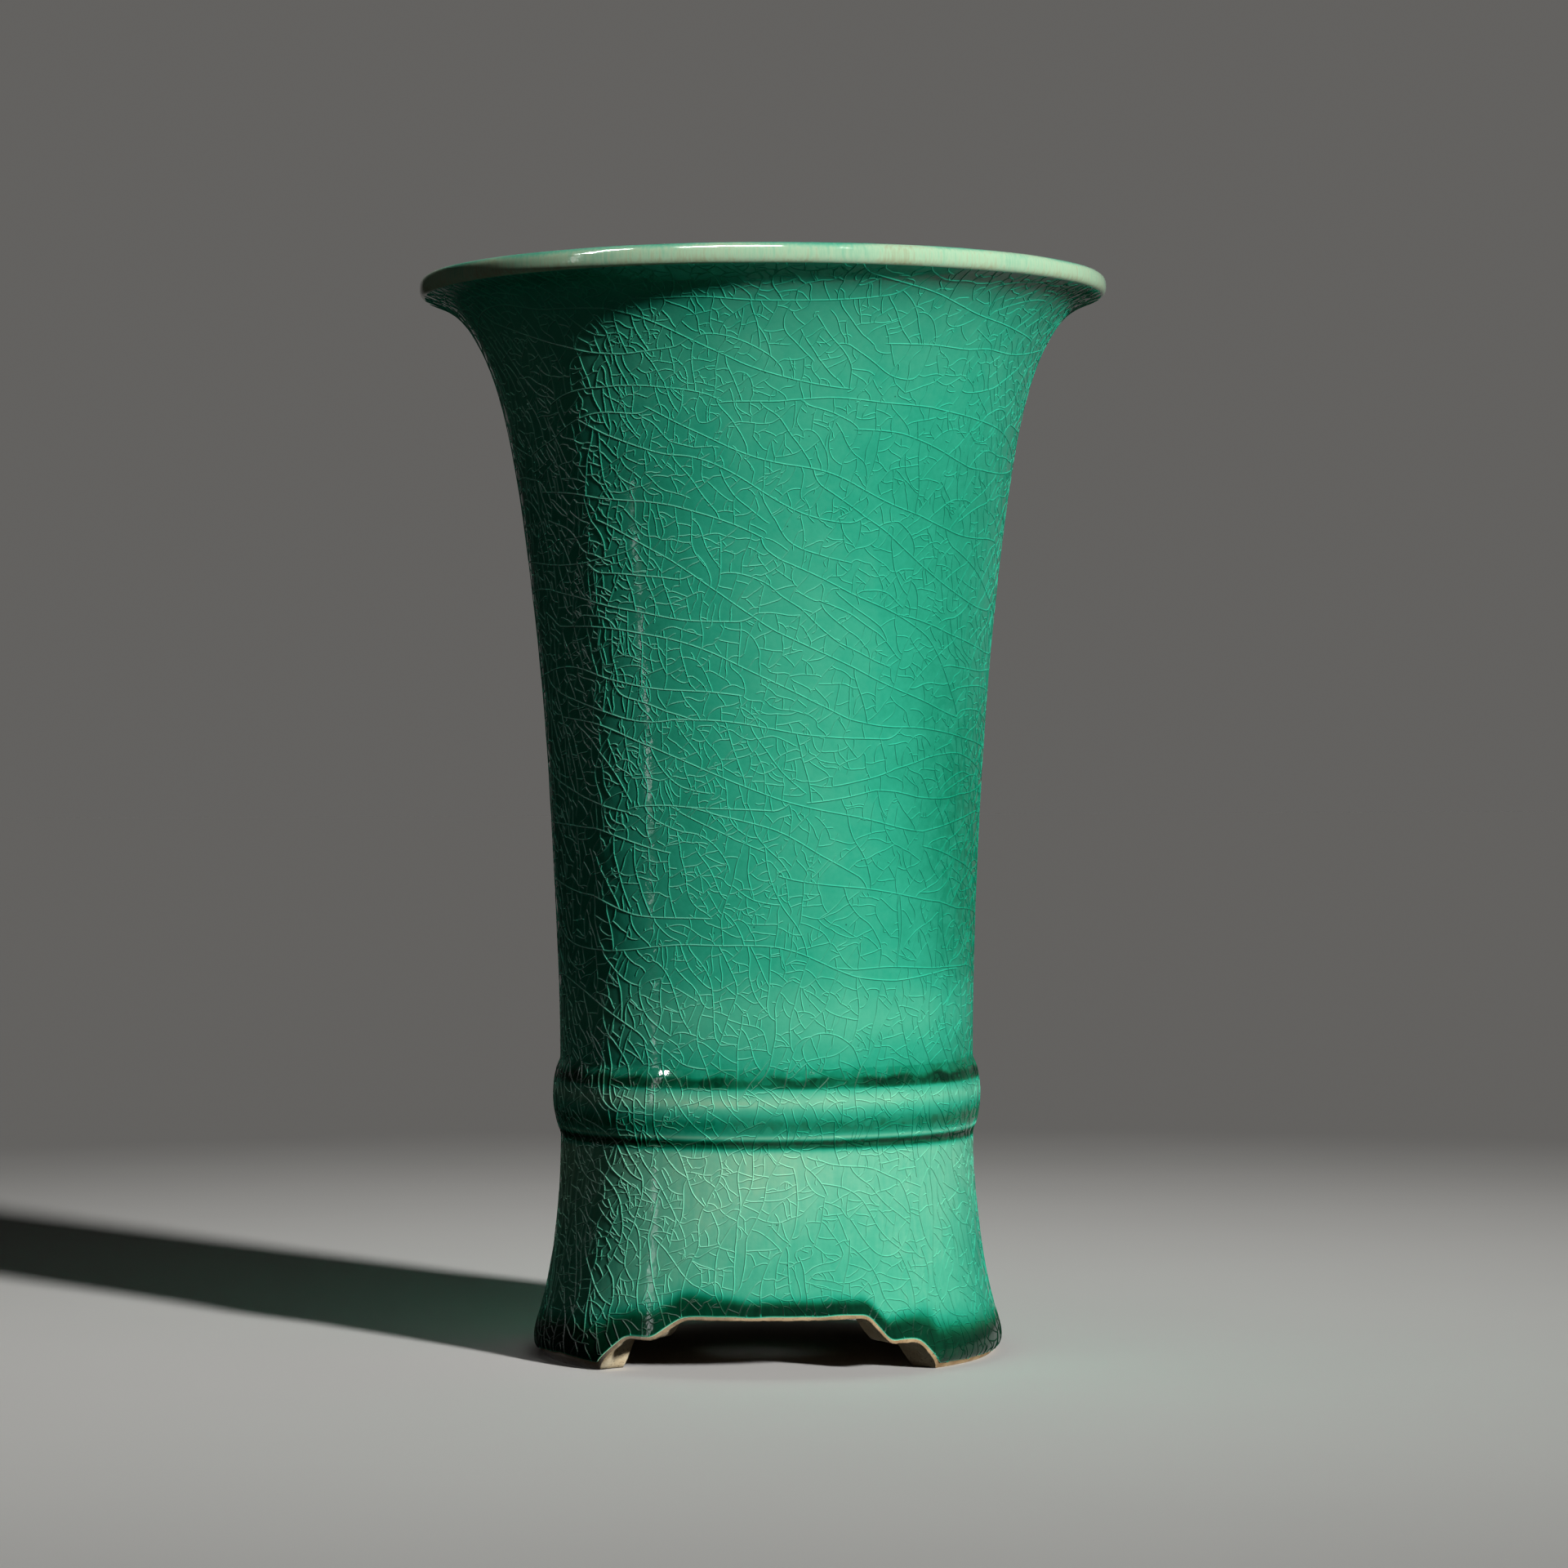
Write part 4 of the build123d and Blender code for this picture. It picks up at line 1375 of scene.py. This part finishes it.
def hang_surround():
    """As bright as the lit floor where it is seen; dark on the left where the glaze mirrors it."""
    world = bpy.data.worlds.new("surround")
    bpy.context.scene.world = world
    world.use_nodes = True
    graph = Graph(world.node_tree)
    way = graph.node("ShaderNodeTexCoord", output="Generated")
    side = graph.node("ShaderNodeSeparateXYZ", None, (way,))
    dark = ray_is(graph, "Glossy") * side.step(*DARK_REFLECTION_SPAN) * (0.95 * SURROUND_SEEN)
    seen = ray_is(graph, "Camera", "Glossy", "Transmission")
    strength = seen * (SURROUND_SEEN - SURROUND_LIGHT) + SURROUND_LIGHT - dark
    graph.fill(world.node_tree.nodes["Background"].inputs["Strength"], strength)
    graph.fill(world.node_tree.nodes["Background"].inputs["Color"], SURROUND_PAINT)


SURROUND_SEEN = float(KEY_STRENGTH * np.sin(np.radians(KEY_HEIGHT)) / np.pi
                      + SURROUND_LIGHT * SURROUND_PAINT[1])
stage_floor()
hang_surround()
print("floor lit to", round(SURROUND_SEEN, 2))

# %% lamps
POT_MIDDLE = Vector((0, 0, 0.125))


def direction(azimuth, elevation):
    """The way from the pot to a place at an azimuth from the front and an elevation."""
    a, e = np.radians(azimuth), np.radians(elevation)
    return Vector((np.sin(a) * np.cos(e), -np.cos(a) * np.cos(e), np.sin(e)))


def lamp(name, kind, azimuth, elevation, strength, **settings):
    """A lamp at a place round the pot that looks at the pot's middle.

    The far lamps light the pot and are left out of its reflections. The near ones are seen
    in reflections only, where they draw lines and glints.
    """
    light = bpy.data.lights.new(name, kind)
    light.energy = strength
    for key, value in settings.items():
        setattr(light, key, value)
    holder = bpy.data.objects.new(name, light)
    bpy.context.scene.collection.objects.link(holder)
    holder.visible_diffuse, holder.visible_glossy = kind == "SUN", kind != "SUN"
    holder.location = POT_MIDDLE + direction(azimuth, elevation) * 1.2
    holder.rotation_euler = direction(azimuth, elevation).to_track_quat("Z", "Y").to_euler()
    return holder


lamp("key_lamp", "SUN", KEY_AZIMUTH, KEY_HEIGHT, KEY_STRENGTH, angle=np.radians(5))
lamp("line_lamp", "AREA", -63, 0, 1.3, shape="RECTANGLE", size=0.034, size_y=1.2)
lamp("spot_lamp", "AREA", -63, 44, 26.0, shape="RECTANGLE", size=0.09, size_y=0.55)
lamp("high_lamp", "AREA", -14, 58, 36, shape="RECTANGLE", size=0.5, size_y=0.25)
lamp("glint_lamp", "AREA", 30, 42, 1.2, shape="DISK", size=0.07)

back_lamp = lamp("back_lamp", "SUN", 185, 30, 2.4, angle=np.radians(20))
pot_only = bpy.data.collections.new("pot_only")
for piece in bpy.context.scene.objects:
    if piece.type == "MESH" and piece.name != "floor":
        pot_only.objects.link(piece)
back_lamp.light_linking.receiver_collection = pot_only

# %% camera
CAMERA_PLACE = (0.00425, -1.053, 0.1315)
CAMERA_LENS = 106.9
LOOKS_DOWN, LEANS = 0.2, 0.27  # degrees
camera_data = bpy.data.cameras.new("camera")
camera = bpy.data.objects.new("camera", camera_data)
bpy.context.scene.collection.objects.link(camera)
bpy.context.scene.camera = camera
camera_data.lens = CAMERA_LENS
camera_data.sensor_width = 36.0
camera_data.clip_start, camera_data.clip_end = 0.05, 30.0
camera.location = CAMERA_PLACE
camera.rotation_mode = "XYZ"
camera.rotation_euler = (np.radians(90 - LOOKS_DOWN), np.radians(LEANS), 0.0)
bpy.context.scene.view_settings.view_transform = "Standard"
